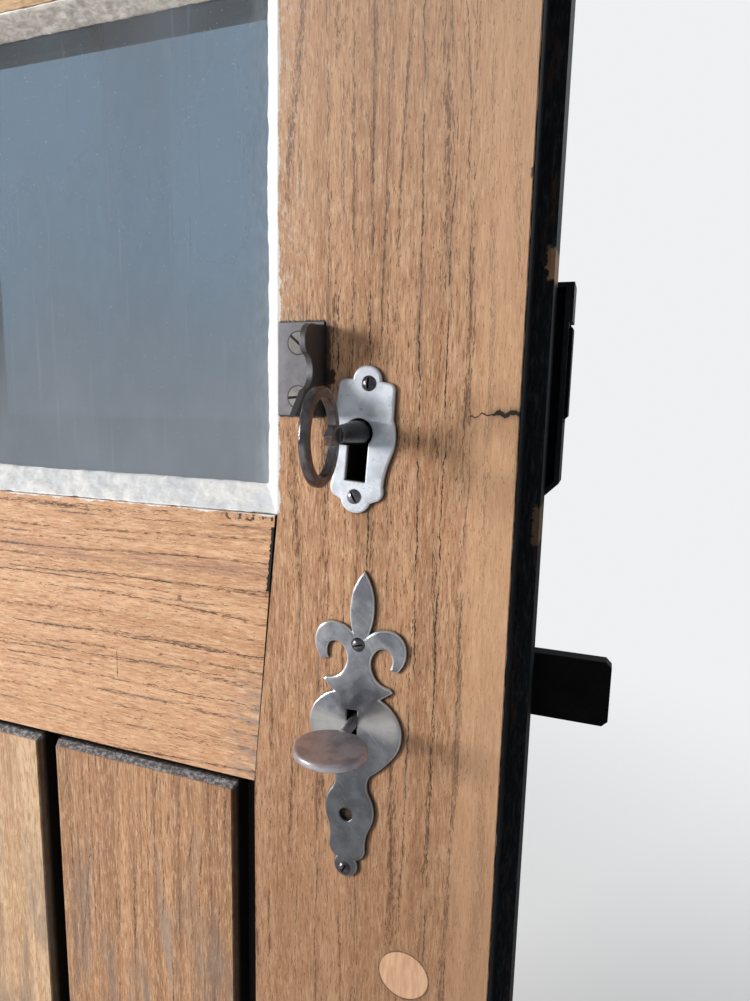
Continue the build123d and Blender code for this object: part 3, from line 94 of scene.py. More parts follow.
def times(tree, first, *others):
    for other in others:
        first = calc(tree, "MULTIPLY", first, other)
    return first


def reach(tree, x, z, middle=(0.0, 0.0)):
    """How far a place is from a middle."""
    dx = calc(tree, "SUBTRACT", x, middle[0])
    dz = calc(tree, "SUBTRACT", z, middle[1])
    return calc(tree, "SQRT", calc(tree, "ADD", times(tree, dx, dx), times(tree, dz, dz)))


def step(tree, value, start, end, smooth=True):
    """0 at start, 1 at end, held outside."""
    made = add(tree, "ShaderNodeMapRange", interpolation_type="SMOOTHSTEP" if smooth else "LINEAR")
    put(tree, made.inputs["Value"], value)
    put(tree, made.inputs["From Min"], start)
    put(tree, made.inputs["From Max"], end)
    return made.outputs["Result"]


def span(tree, value, low, high, soft):
    """1 between low and high, with soft ends."""
    return times(tree, step(tree, value, low - soft, low), step(tree, value, high + soft, high))


def rgb(text):
    """A colour written as it looks on the screen, turned to linear light."""
    values = [int(text[i:i + 2], 16) / 255 for i in (0, 2, 4)]
    return tuple(v / 12.92 if v < 0.04045 else ((v + 0.055) / 1.055) ** 2.4 for v in values) + (1.0,)


def mix(tree, factor, a, b):
    made = add(tree, "ShaderNodeMix", data_type="RGBA")
    put(tree, made.inputs[0], factor)
    put(tree, made.inputs[6], a)
    put(tree, made.inputs[7], b)
    return made.outputs[2]


def mix_value(tree, factor, a, b):
    made = add(tree, "ShaderNodeMix", data_type="FLOAT")
    put(tree, made.inputs[0], factor)
    put(tree, made.inputs[2], a)
    put(tree, made.inputs[3], b)
    return made.outputs[0]


def paint(tree, colour, shade, *masks):
    """Lays a shade over the colour, as far as the masks, each from 0 to 1, let it."""
    return mix(tree, times(tree, *masks), colour, rgb(shade))


def vector(tree, x, y, z):
    made = add(tree, "ShaderNodeCombineXYZ")
    for socket, value in zip(made.inputs, (x, y, z)):
        put(tree, socket, value)
    return made.outputs[0]


def stretched(tree, place, scale, shift=0.0):
    """The place (x, y, z) times a scale for each axis, as one vector."""
    axes = [calc(tree, "MULTIPLY_ADD", axis, size, shift) for axis, size in zip(place, scale)]
    return vector(tree, *axes)


def noise(tree, where, detail=2.0, rough=0.5, twist=0.0):
    made = add(tree, "ShaderNodeTexNoise")
    put(tree, made.inputs["Vector"], where)
    made.inputs["Scale"].default_value = 1.0
    made.inputs["Detail"].default_value = detail
    made.inputs["Roughness"].default_value = rough
    made.inputs["Distortion"].default_value = twist
    return made.outputs["Fac"]


def cloudy(tree, place, scale, shift=0.0, *detail):
    """Noise at a place, with a scale for each axis."""
    return noise(tree, stretched(tree, place, scale, shift), *detail)


def wander(tree, value, scale, shift, detail=1.0):
    """One-dimensional noise along a value."""
    made = add(tree, "ShaderNodeTexNoise", noise_dimensions="1D")
    put(tree, made.inputs["W"], calc(tree, "MULTIPLY_ADD", value, scale, shift))
    made.inputs["Scale"].default_value = 1.0
    made.inputs["Detail"].default_value = detail
    return made.outputs["Fac"]


def bump(tree, height, distance, strength=1.0, below=None):
    made = add(tree, "ShaderNodeBump")
    made.inputs["Strength"].default_value = strength
    made.inputs["Distance"].default_value = distance
    put(tree, made.inputs["Height"], height)
    put(tree, made.inputs["Normal"], below)
    return made.outputs["Normal"]


def after(tree, value, *waiting):
    """The waiting values, unchanged, but worked out only once value is. Long shaders need less room so."""
    return tuple(calc(tree, "MULTIPLY_ADD", value, 1e-9, item) for item in waiting)


def shut_in(tree, distance, own_only, samples=4, leaning=None):
    """1 deep in slots and corners, 0 on open faces. A leaning direction feels for walls on one side only."""
    made = add(tree, "ShaderNodeAmbientOcclusion", samples=samples, only_local=own_only)
    made.inputs["Distance"].default_value = distance
    if leaning:
        with_the_leaf = add(tree, "ShaderNodeVectorTransform", vector_type="NORMAL", convert_from="OBJECT",
                            convert_to="WORLD")
        with_the_leaf.inputs[0].default_value = leaning
        put(tree, made.inputs["Normal"], with_the_leaf.outputs[0])
    return calc(tree, "SUBTRACT", 1.0, made.outputs["AO"])


def surface_axes(tree, output):
    """The parts along x, y and z of an output of the texture coordinates."""
    axes = add(tree, "ShaderNodeSeparateXYZ")
    tree.links.new(add(tree, "ShaderNodeTexCoord").outputs[output], axes.inputs[0])
    return axes.outputs


def normal_parts(tree):
    """The surface's own direction, as parts along x, y and z of the open leaf's place."""
    return surface_axes(tree, "Normal")


def frame_place(tree):
    """The point as the frame stands."""
    return tuple(surface_axes(tree, "Object"))


def leaf_place(tree):
    """The point in the drawing of the closed door: x across, y inwards, z up."""
    axes = surface_axes(tree, "Object")
    return calc(tree, "SUBTRACT", axes[1], LEAF_MIDDLE), calc(tree, "SUBTRACT", FACE_X, axes[0]), axes[2]


def turned(tree, place, angle):
    """The place with x and z turned, for a plank that lies at an angle in the arch."""
    x, y, z = place
    c = math.cos(angle)
    s = math.sin(angle)
    above = calc(tree, "SUBTRACT", z, SPRING)
    along = calc(tree, "ADD", times(tree, x, c), times(tree, above, s))
    across = calc(tree, "SUBTRACT", times(tree, above, c), times(tree, x, s))
    return across, y, along


# Materials as a whole

def material(name):
    made = bpy.data.materials.new(name)
    made.use_nodes = True
    tree = made.node_tree
    tree.nodes.clear()
    surface = add(tree, "ShaderNodeBsdfPrincipled")
    out = add(tree, "ShaderNodeOutputMaterial")
    tree.links.new(surface.outputs[0], out.inputs[0])
    return made, tree, surface


def node_of(tree, kind):
    return next(node for node in tree.nodes if node.type == kind)


def base_colour(made):
    """Of a finished material: its node tree, its colour's socket, and the colour that goes into it so far."""
    tree = made.node_tree
    socket = node_of(tree, "BSDF_PRINCIPLED").inputs["Base Color"]
    return tree, socket, socket.links[0].from_socket


def layered(tree, amount, below, above):
    """Sends a mix of two shaders to the material's output."""
    both = add(tree, "ShaderNodeMixShader")
    put(tree, both.inputs[0], amount)
    tree.links.new(below.outputs[0], both.inputs[1])
    tree.links.new(above.outputs[0], both.inputs[2])
    tree.links.new(both.outputs[0], node_of(tree, "OUTPUT_MATERIAL").inputs[0])


# Timber

def crack_group():
    """A crack along the grain, from one place to another: a broken dark line, and a soft stain beside it."""
    tree = bpy.data.node_groups.new("crack", "ShaderNodeTree")
    for label in ("Across", "Along", "First", "Last", "Width", "Phase", "Start", "End"):
        tree.interface.new_socket(label, in_out="INPUT", socket_type="NodeSocketFloat")
    for label in ("Line", "Stain"):
        tree.interface.new_socket(label, in_out="OUTPUT", socket_type="NodeSocketFloat")
    given = add(tree, "NodeGroupInput").outputs
    along = given["Along"]

    def drift(scale, offset, detail=1.0):
        return wander(tree, along, scale, calc(tree, "ADD", given["Phase"], offset), detail)

    share = step(tree, along, given["Start"], given["End"], smooth=False)
    drawn = calc(tree, "SUBTRACT", given["Last"], given["First"])
    path = calc(tree, "MULTIPLY_ADD", share, drawn, given["First"])
    for wave, amount in ((drift(22.0, 0.0), 0.0026), (drift(210.0, 7.0, 3.0), 0.0015)):
        path = calc(tree, "MULTIPLY_ADD", calc(tree, "SUBTRACT", wave, 0.5), amount, path)
    away = calc(tree, "ABSOLUTE", calc(tree, "SUBTRACT", given["Across"], path))
    here = times(tree, step(tree, along, given["Start"], calc(tree, "ADD", given["Start"], 0.02)),
                 step(tree, along, given["End"], calc(tree, "SUBTRACT", given["End"], 0.02)))
    long_gaps = step(tree, drift(34.0, 29.0, 2.0), 0.36, 0.54)
    short_gaps = step(tree, drift(330.0, 53.0, 2.0), 0.32, 0.66)
    open_share = times(tree, long_gaps, calc(tree, "MULTIPLY_ADD", short_gaps, 0.75, 0.25))
    width = times(tree, given["Width"], open_share, here)
    line = times(tree, step(tree, away, calc(tree, "ADD", width, 0.00008), times(tree, width, 0.25)),
                 step(tree, width, 0.00004, 0.00014))
    near = step(tree, away, calc(tree, "MULTIPLY_ADD", given["Width"], 2.2, 0.0009), 0.0)
    stain = times(tree, near, step(tree, drift(17.0, 41.0), 0.46, 0.68), here)
    out = add(tree, "NodeGroupOutput")
    put(tree, out.inputs["Line"], line)
    put(tree, out.inputs["Stain"], stain)
    return tree


CRACK = crack_group()


def cracks(tree, place, rows):
    """Adds up explicit cracks. Each row is where it starts and ends along the grain in metres, its place
    across the grain at both ends in mm, and its width in mm."""
    line = 0.0
    stain = 0.0
    across, through, along = place
    for number, (start, end, first, last, width) in enumerate(rows):
        made = add(tree, "ShaderNodeGroup", node_tree=CRACK)
        if number:
            across, along = after(tree, stain, across, along)
        values = {"Across": across, "Along": along, "First": first / 1000, "Last": last / 1000,
                  "Width": width / 2000, "Phase": 3.7 * number, "Start": start, "End": end}
        for label, value in values.items():
            put(tree, made.inputs[label], value)
        line = calc(tree, "MAXIMUM", line, made.outputs["Line"])
        stain = calc(tree, "MAXIMUM", stain, made.outputs["Stain"])
    return line, stain


def timber(name, place_of, look, rows=(), extra=None):
    """Weathered open-grained wood: soft bands, ruddy fibres, rows of pores along the rings, and cracks.
    The place is given as across, through and along the grain. An extra changes the colour and roughness, and
    gives the shine."""
    made, tree, surface = material(name)
    place = place_of(tree)
    shift = look.get("shift", 0.0)
    bands = cloudy(tree, place, (look["bands"], 25, 1.3), shift, 3, 0.55, 0.3)
    mottle = cloudy(tree, place, (330, 110, 75), shift + 2, 4, 0.68, 0.8)
    fibre = cloudy(tree, place, (1150, 400, 120), shift, 4, 0.7)
    dashes = cloudy(tree, place, (1600, 600, 260), shift + 4, 2, 0.6)
    sway = cloudy(tree, place, (28, 10, 2.6), shift + 6, 1)
    rings = calc(tree, "MULTIPLY_ADD", sway, 3.4, times(tree, place[0], 1 / look["ring"]))
    away = calc(tree, "ABSOLUTE", calc(tree, "SUBTRACT", calc(tree, "FRACT", rings), 0.5))
    ring_place = vector(tree, times(tree, calc(tree, "FLOOR", rings), 5.3), times(tree, place[2], 9.0), shift)
    kept = noise(tree, ring_place, 2)
    row = times(tree, step(tree, away, 0.2, 0.02), step(tree, kept, 0.35, 0.6))
    colour = mix(tree, step(tree, bands, 0.36, 0.64), rgb(look["dark"]), rgb(look["light"]))
    colour = paint(tree, colour, look["warm"], step(tree, mottle, 0.5, 0.66), 0.6)
    colour = paint(tree, colour, look["pale"], step(tree, mottle, 0.48, 0.34), 0.45)
    colour = paint(tree, colour, look["pale"], step(tree, fibre, 0.52, 0.64), 0.62)
    colour = paint(tree, colour, look["late"], step(tree, fibre, 0.47, 0.34), 0.9)
    colour = paint(tree, colour, look["late"], row, 0.3)
    weather = cloudy(tree, place, (48, 20, 8), shift + 3, 3, 0.6)
    grey = step(tree, weather, 0.74 - 0.3 * look["grey"], 0.9 - 0.3 * look["grey"])
    colour = paint(tree, colour, look["ash"], grey, look["grey"])
    limit = calc(tree, "MULTIPLY_ADD", row, 0.17, look["open"])
    pores = step(tree, dashes, limit, calc(tree, "SUBTRACT", limit, 0.06))
    colour = paint(tree, colour, look["pore"], pores, look["pored"])
    hair = times(tree, step(tree, away, 0.05, 0.015), step(tree, kept, 0.52, 0.62),
                 step(tree, wander(tree, place[2], 160.0, shift), 0.4, 0.5))
    line, stain = cracks(tree, place, rows)
    line = calc(tree, "MAXIMUM", line, times(tree, hair, look["cracked"]))
    colour = paint(tree, colour, "5c4c42", stain, 0.5)
    colour = paint(tree, colour, "1d1511", line, 0.93)
    height = calc(tree, "MULTIPLY_ADD", fibre, 0.5, times(tree, mottle, 0.25))
    height = calc(tree, "SUBTRACT", height, times(tree, pores, 0.4))
    rough = calc(tree, "MULTIPLY_ADD", fibre, 0.2, 0.55)
    shine = TIMBER_SHINE
    if extra:
        colour, rough, shine = extra(tree, colour, rough)
    put(tree, surface.inputs["Base Color"], colour)
    put(tree, surface.inputs["Roughness"], rough)
    put(tree, surface.inputs["Normal"], bump(tree, height, 0.0008, 0.7))
    put(tree, surface.inputs["Specular IOR Level"], shine)
    return made


STILE_LOOK = {"light": "bd926e", "dark": "a37957", "warm": "a97453", "pale": "d6b18e", "late": "835b3e",
              "ash": "9d8b7c", "pore": "573c2b", "grey": 0.3, "cracked": 0.5, "pored": 0.85, "open": 0.345,
              "ring": 0.0125, "bands": 60}
RAIL_LOOK = {"light": "cba07c", "dark": "ba8e6a", "warm": "c08862", "pale": "e0ba96", "late": "a37453",
             "ash": "a39a92", "pore": "5f4331", "grey": 0.2, "cracked": 0.75, "pored": 0.75, "open": 0.335,
             "ring": 0.0085, "bands": 70, "shift": 31.0}
BOARD_LOOK = {"light": "b68b67", "dark": "92694a", "warm": "a0734f", "pale": "cbaa8a", "late": "7b5b43",
              "ash": "8c8178", "pore": "45301f", "grey": 0.6, "cracked": 0.6, "pored": 0.55, "open": 0.3,
              "ring": 0.0062, "bands": 120, "shift": 57.0}
SMOOTH_BOARD_LOOK = {**BOARD_LOOK, "light": "cbab89", "dark": "ad8765", "pale": "d7bb9c", "late": "91704f",
                     "grey": 0.3, "cracked": 0.15, "pored": 0.3, "open": 0.25, "bands": 95, "shift": 101.0}
BAR_LOOK = {**BOARD_LOOK, "light": "c3a27c", "dark": "a88866", "grey": 0.5, "shift": 83.0}
FRAME_LOOK = {**STILE_LOOK, "light": "bd956f", "dark": "a37c59", "late": "84603f", "grey": 0.55,
              "cracked": 0.8, "shift": 11.0}


def level(place_of):
    """For a piece whose grain lies level: x and z change places."""
    def swapped(tree):
        x, y, z = place_of(tree)
        return z, y, x
    return swapped


def slanted(place_of, angle):
    return lambda tree: turned(tree, place_of(tree), angle)


def lock_side(tree, x, z):
    """How far a place is past the lock edge of the leaf, and so on below for its other edges."""
    return calc(tree, "SUBTRACT", x, LOCK_EDGE)


def hinge_side(tree, x, z):
    return calc(tree, "SUBTRACT", times(tree, x, -1.0), LOCK_EDGE)


def arch_side(tree, x, z):
    return calc(tree, "SUBTRACT", reach(tree, x, z, (0.0, SPRING)), LOCK_EDGE)


def painted_edge(tree, colour, rough, side):
    """Old tar-black paint on the rebated edge, ragged along the arris and worn brown in places."""
    place = leaf_place(tree)
    x, y, z = place
    beyond = side(tree, x, z)
    ragged = calc(tree, "MULTIPLY_ADD", wander(tree, z, 90.0, 5.0, 3.0), 0.0022, -0.0011)
    inwards = calc(tree, "MAXIMUM", calc(tree, "SUBTRACT", y, LEAF_FRONT), 0.0)
    round_arris = calc(tree, "ADD", calc(tree, "ADD", beyond, inwards), ragged)
    past = times(tree, step(tree, round_arris, -0.0002, 0.0002), step(tree, beyond, -0.0020, -0.0012))
    cloud = cloudy(tree, place, (140, 140, 34), 0.0, 4, 0.7)
    fine = cloudy(tree, place, (700, 700, 120), 4, 3, 0.7)
    tar = mix(tree, step(tree, fine, 0.45, 0.75), rgb("181a1d"), rgb("2f3237"))
    tar = paint(tree, tar, "3d2e25", step(tree, cloud, 0.54, 0.70), 0.8)
    tar = paint(tree, tar, "7c6250", step(tree, cloud, 0.70, 0.78), 0.6)
    shine = calc(tree, "MULTIPLY_ADD", past, -0.26, TIMBER_SHINE)
    return mix(tree, past, colour, tar), mix_value(tree, past, rough, 0.72), shine


def edge_extra(side):
    return lambda tree, colour, rough: painted_edge(tree, colour, rough, side)


def patch(tree, place, low, high, ragged=0.0008, fineness=450.0):
    """1 in a box of the drawing, x and z only, with ragged borders."""
    x, y, z = place
    jag = cloudy(tree, place, (fineness,) * 3, low[1] * 50, 3, 0.7)
    shift = calc(tree, "MULTIPLY", calc(tree, "SUBTRACT", jag, 0.5), 6 * ragged)
    inside_x = span(tree, calc(tree, "ADD", x, shift), low[0], high[0], ragged)
    inside_z = span(tree, calc(tree, "SUBTRACT", z, shift), low[1], high[1], 2 * ragged)
    return times(tree, inside_x, inside_z)


def past_shoulder(tree, x, z):
    """How far x is beyond the slanting joint between the lock rail and the stile."""
    slant = (GLASS_EDGE - STILE_START) / (RAIL_TOP - RAIL_FOOT)
    above = calc(tree, "MAXIMUM", calc(tree, "SUBTRACT", z, RAIL_FOOT), 0.0)
    return calc(tree, "SUBTRACT", x, calc(tree, "MULTIPLY_ADD", above, slant, STILE_START))


def putty_smear(tree, colour, place, from_putty, ragged, shade):
    """Putty wiped over the wood beside the glass, on the outer face only, up to a ragged edge."""
    edge = step(tree, calc(tree, "SUBTRACT", from_putty, ragged), 0.0004, -0.0002)
    return paint(tree, colour, shade, edge, step(tree, place[1], 0.012, 0.008), 0.9)


# The lock stile

# Low corner, high corner, raggedness and colour of dark patches painted as shade: a notch by the flush plate,
# a chip of the arris, and the rim of the flush plate
CHIPS = (((0.2652, 1.1762), (0.2697, 1.1818), 0.0009, "38261a"),
         ((0.3600, 1.2640), (0.3625, 1.2668), 0.0007, "15130f"),
         ((0.2388, 1.1591), (0.2646, 1.2058), 0.0004, "2a201a"))
# Outwards, left and up in the drawing: walls are felt for this way, so that the painted shadow falls right of
# the plates
UP_LEFT = (0.62, -0.70, 0.35)


def pale_strip(tree, colour, place, past_edge):
    """Smooth pale wood along the lock edge."""
    wave = times(tree, calc(tree, "SUBTRACT", wander(tree, place[2], 6.0, 3.0), 0.5), 0.014)
    pale = step(tree, calc(tree, "ADD", past_edge, wave), -0.030, -0.013)
    smooth = cloudy(tree, place, (300, 100, 20), 5, 2)
    return mix(tree, times(tree, pale, 0.62), colour, mix(tree, smooth, rgb("cf9f78"), rgb("dcb38e")))


def knot_crack(tree, colour, place, past_edge):
    """A jagged crack across the grain, from a knot to the edge, in a grey stain."""
    x, y, z = place
    jag = times(tree, calc(tree, "SUBTRACT", wander(tree, x, 190.0, 1.0, 5.0), 0.5), 0.0052)
    middle = calc(tree, "MULTIPLY_ADD", calc(tree, "ADD", past_edge, 0.023), 0.11, KNOT_Z)
    away = calc(tree, "ABSOLUTE", calc(tree, "ADD", calc(tree, "SUBTRACT", z, middle), jag))
    thick = calc(tree, "MULTIPLY_ADD", span(tree, past_edge, -0.0105, 0.001, 0.003), 0.0008, 0.00015)
    thick = times(tree, thick, wander(tree, x, 260.0, 9.0, 2.0), 2.0)
    knot = times(tree, step(tree, away, calc(tree, "ADD", thick, 0.0003), thick),
                 span(tree, past_edge, -0.0225, 0.002, 0.002))
    smoke = times(tree, step(tree, away, 0.0038, 0.0), span(tree, past_edge, -0.010, 0.001, 0.006))
    colour = paint(tree, colour, "5c4d43", smoke, 0.7)
    return paint(tree, colour, "2a201a", knot)


def chips(tree, colour, place):
    """Painted shade in chips of the wood and round the flush plate, and frayed fibres above the flush plate.
    The place comes back, to be used later.
    """
    for low, high, ragged, shade in CHIPS:
        # Each patch is painted shade
        mask = patch(tree, place, low, high, ragged)
        colour = paint(tree, colour, shade, mask)
        place = after(tree, mask, *place)
    x, y, z = place
    fray = step(tree, cloudy(tree, place, (900, 300, 60), 3, 2), 0.5, 0.66)
    above_plate = times(tree, span(tree, z, 1.2060, 1.2110, 0.005), span(tree, x, 0.242, 0.262, 0.002))
    return paint(tree, colour, "47362b", fray, above_plate, 0.75), place


def beside_glass(tree, colour, place):
    """Chalky specks and a smear of putty."""
    x, y, z = place
    speck = step(tree, cloudy(tree, place, (700, 400, 260), 8, 3, 0.7), 0.5, 0.66)
    chalk = times(tree, speck, step(tree, x, 0.262, 0.242), step(tree, z, 1.13, 1.24))
    colour = paint(tree, colour, "cdc4ba", chalk, 0.55)
    ragged = calc(tree, "MULTIPLY_ADD", cloudy(tree, place, (60, 60, 55), 2, 5, 0.75), 0.0085, -0.0032)
    above_rail = step(tree, z, RAIL_TOP, RAIL_TOP + 0.004)
    smeared = putty_smear(tree, colour, place, calc(tree, "SUBTRACT", x, GLASS_EDGE), ragged, "dcdad6")
    return mix(tree, above_rail, colour, smeared)


def round_plug(tree, colour, place):
    """The ragged gap round the wood plug, in a grey stain."""
    away = reach(tree, place[0], place[2], PLUG)
    bite = calc(tree, "MULTIPLY_ADD", cloudy(tree, place, (260, 260, 260), 5, 3, 0.7), 0.0042, 0.0122)
    gap = times(tree, step(tree, away, 0.0134, 0.0137),
                step(tree, away, calc(tree, "ADD", bite, 0.0002), bite))
    colour = paint(tree, colour, "8d745c", step(tree, away, 0.0185, 0.0140), 0.3)
    return paint(tree, colour, "5d4534", gap, 0.8)


def soiled_and_shadowed_plates(tree, colour):
    """Grime and painted shade against the ironwork, and a painted shadow right of the plates."""
    # Grime and painted shade close round the plates
    near = step(tree, shut_in(tree, 0.009, False), 0.24, 0.7)
    colour = paint(tree, colour, "2c211a", near, 0.7)
    # Painted shadow on the wood right of and below the plates
    painted_shadow_right = step(tree, shut_in(tree, 0.0030, False, 6, UP_LEFT), 0.22, 0.5)
    return paint(tree, colour, "17110d", painted_shadow_right, 0.9)


def painted_hollow_shade(tree, colour, place):
    """Painted shade, near black, inside the keyholes, in the hole in the fleur plate and in the joint with
    the rail.
    """
    x, y, z = place
    deep = step(tree, y, LEAF_FRONT + 0.0003, LEAF_FRONT + 0.0016)
    keyholes = times(tree, span(tree, x, 0.270, 0.298, 0.001), span(tree, z, 0.93, 1.19, 0.001))
    joint = times(tree, step(tree, past_shoulder(tree, x, z), 0.0008, 0.0003),
                  step(tree, z, RAIL_TOP + 0.004, RAIL_TOP))
    hole_x, hole_z = (span(tree, value, middle - FLEUR_HOLE_HALF, middle + FLEUR_HOLE_HALF, 0.0001)
                      for value, middle in zip((x, z), FLEUR_HOLE))
    colour = paint(tree, colour, "1c130d", hole_x, hole_z, 0.9)
    return paint(tree, colour, BLACK, deep, calc(tree, "MAXIMUM", keyholes, joint))


def bare_lip(tree, colour, place):
    """Two places where the paint has gone from the lip."""
    large = patch(tree, place, (0.3672, 1.2262), (0.3720, 1.2385), 0.0011, 260.0)
    faint = times(tree, patch(tree, place, (0.3675, 1.1000), (0.3720, 1.1170), 0.0011), 0.4)
    wood = mix(tree, cloudy(tree, place, (900, 900, 120), 0.0, 3), rgb("6e5340"), rgb("a98763"))
    bare = times(tree, calc(tree, "MAXIMUM", large, faint), step(tree, place[1], 0.020, 0.022))
    return mix(tree, bare, colour, wood)


def lock_stile_extra(tree, colour, rough):
    """All that sets the lock stile apart, from its pale strip to its painted edge."""
    place = leaf_place(tree)
    z = place[2]
    past_edge = calc(tree, "SUBTRACT", place[0], LOCK_EDGE)
    colour = pale_strip(tree, colour, place, past_edge)
    colour = knot_crack(tree, colour, place, past_edge)
    colour, place = chips(tree, colour, place)
    colour = beside_glass(tree, colour, place)
    colour = round_plug(tree, colour, place)
    # Darker towards the bottom
    colour = paint(tree, colour, "7e5a40", step(tree, z, 1.10, 0.86), 0.42)
    colour = paint(tree, colour, "b69c88", step(tree, z, 1.16, 1.36), step(tree, z, 1.62, 1.46), 0.4)
    colour = soiled_and_shadowed_plates(tree, colour)
    colour = painted_hollow_shade(tree, colour, place)
    colour, rough, shine = painted_edge(tree, colour, rough, lock_side)
    return bare_lip(tree, colour, place), rough, shine


# The boards and the lock rail

def board_extra(tree, colour, rough):
    """Painted shade deep in the grooves and on their sides, and a frosty grey bevel at the top."""
    place = leaf_place(tree)
    x, y, z = place
    speck = cloudy(tree, place, (380, 520, 520), 0.0, 4, 0.75)
    outside = step(tree, normal_parts(tree)[0], -0.6, -0.3)
    # Painted shade where the grooves begin
    colour = paint(tree, colour, "33281f", step(tree, y, 0.0020, 0.0038), outside, 0.8)
    top = times(tree, step(tree, z, 0.9420, 0.9432), step(tree, y, 0.0021, 0.0028))
    frost = mix(tree, step(tree, speck, 0.42, 0.68), rgb("585657"), rgb("b9babf"))
    colour = mix(tree, times(tree, top, 0.88), colour, frost)
    # Painted shade, near black, deeper in the grooves
    colour = paint(tree, colour, "0a0807", step(tree, y, 0.0055, 0.0095), outside, 0.97)
    stain = step(tree, cloudy(tree, place, (55, 20, 9), 12, 3, 0.6), 0.45, 0.62)
    low = times(tree, step(tree, z, 0.90, 0.83), stain, step(tree, y, 0.006, 0.004))
    return paint(tree, colour, "6f6660", low, 0.5), rough, TIMBER_SHINE


def rail_marks(tree, colour, place):
    """The purple-brown streak, dark speckles, the grey stain near the stile, a knife mark and a dent."""
    x, y, z = place
    mist = cloudy(tree, place, (26, 20, 260), 9, 3, 0.6)
    streak = times(tree, span(tree, z, 1.0725, 1.0755, 0.0045), step(tree, mist, 0.36, 0.62))
    colour = paint(tree, colour, "8f6a5a", streak, step(tree, x, 0.0, 0.06), 0.55)
    speckle = times(tree, span(tree, z, 1.0745, 1.0775, 0.001), span(tree, x, 0.128, 0.160, 0.008))
    colour = paint(tree, colour, "4d3f38", speckle, step(tree, mist, 0.45, 0.6), 0.55)
    stain = step(tree, cloudy(tree, place, (70, 20, 160), 4, 3, 0.6), 0.38, 0.6)
    near_stile = times(tree, step(tree, x, 0.198, 0.228), step(tree, z, 1.030, 0.985))
    colour = paint(tree, colour, "857a74", stain, near_stile, 0.7)
    knife = patch(tree, place, (0.1304, 0.9995), (0.13065, 1.0155), 0.00025, 500.0)
    dent = patch(tree, place, (0.1750, 1.0540), (0.1772, 1.0556), 0.0008)
    marks = calc(tree, "MAXIMUM", times(tree, knife, 0.8), times(tree, dent, 0.7))
    return paint(tree, colour, "3a2a20", marks)


def rail_end(tree, colour, place):
    """Painted shade: a near-black patch at the broken end by the stile, and black in the hollows of the joint
    and the grooves.
    """
    x, y, z = place
    past = past_shoulder(tree, x, z)
    torn = calc(tree, "MULTIPLY_ADD", cloudy(tree, place, (40, 40, 420), 6, 2, 0.6), 0.0030, -0.0015)
    gap = times(tree, step(tree, calc(tree, "ADD", past, torn), -0.0030, -0.0026),
                span(tree, z, 1.0655, 1.1000, 0.0012))
    # Painted shade in place of the broken-out end
    colour = paint(tree, colour, "0c0907", gap)
    end_face = step(tree, calc(tree, "ABSOLUTE", normal_parts(tree)[1]), 0.6, 0.8)
    deep = times(tree, step(tree, y, 0.006, 0.012), step(tree, y, 0.029, 0.026))
    from_middle = calc(tree, "ABSOLUTE", calc(tree, "SUBTRACT", z, RAIL_MIDDLE))
    grooves = times(tree, deep, step(tree, from_middle, 0.0765, 0.078))
    in_joint = calc(tree, "MAXIMUM", end_face, step(tree, past, -0.0003, 0.0001))
    return paint(tree, colour, BLACK, calc(tree, "MAXIMUM", grooves, in_joint), 0.95)


def rail_extra(tree, colour, rough):
    """All that sets the lock rail apart, with crumbs under the putty and a smear of it."""
    place = leaf_place(tree)
    x, y, z = place
    colour = rail_marks(tree, colour, place)
    colour = rail_end(tree, colour, place)
    crumb = step(tree, cloudy(tree, place, (420, 420, 420), 33, 2), 0.54, 0.6)
    under_putty = times(tree, span(tree, z, 1.1030, 1.1062, 0.0006), step(tree, x, 0.203, 0.209))
    colour = paint(tree, colour, "241c18", crumb, under_putty, 0.9)
    ragged = calc(tree, "MULTIPLY_ADD", cloudy(tree, place, (90, 60, 60), 2, 4, 0.7), 0.0058, -0.0024)
    colour = putty_smear(tree, colour, place, calc(tree, "SUBTRACT", RAIL_TOP, z), ragged, "dddbd7")
    return colour, rough, TIMBER_SHINE


STILE_CRACKS = (
    (1.12, 1.40, 251.2, 249.9, 0.45), (0.80, 1.10, 250.0, 252.0, 0.5), (0.70, 1.05, 262.8, 262.7, 0.8),
    (1.10, 1.45, 268.0, 262.5, 0.8), (1.23, 1.55, 272.6, 274.0, 0.6), (1.168, 1.205, 271.4, 271.2, 2.2),
    (1.19, 1.228, 271.2, 272.2, 1.6), (1.07, 1.55, 289.3, 286.0, 1.35), (0.78, 0.93, 288.0, 285.5, 0.6),
    (1.06, 1.36, 300.0, 293.5, 0.55), (1.02, 1.60, 315.6, 306.5, 1.3), (0.70, 1.07, 309.0, 314.0, 1.0),
    (0.80, 1.30, 325.6, 326.4, 1.15), (1.27, 1.55, 326.0, 310.0, 0.9), (1.19, 1.45, 337.6, 323.0, 0.9),
    (0.72, 1.22, 337.2, 338.2, 1.15), (0.90, 1.45, 349.8, 344.0, 0.4), (0.20, 0.75, 300.0, 303.0, 0.9),
    (0.10, 0.72, 325.0, 322.0, 1.0))
HINGE_STILE_CRACKS = [(start, end, -first, -last, width)
                      for start, end, first, last, width in STILE_CRACKS[9:18]]
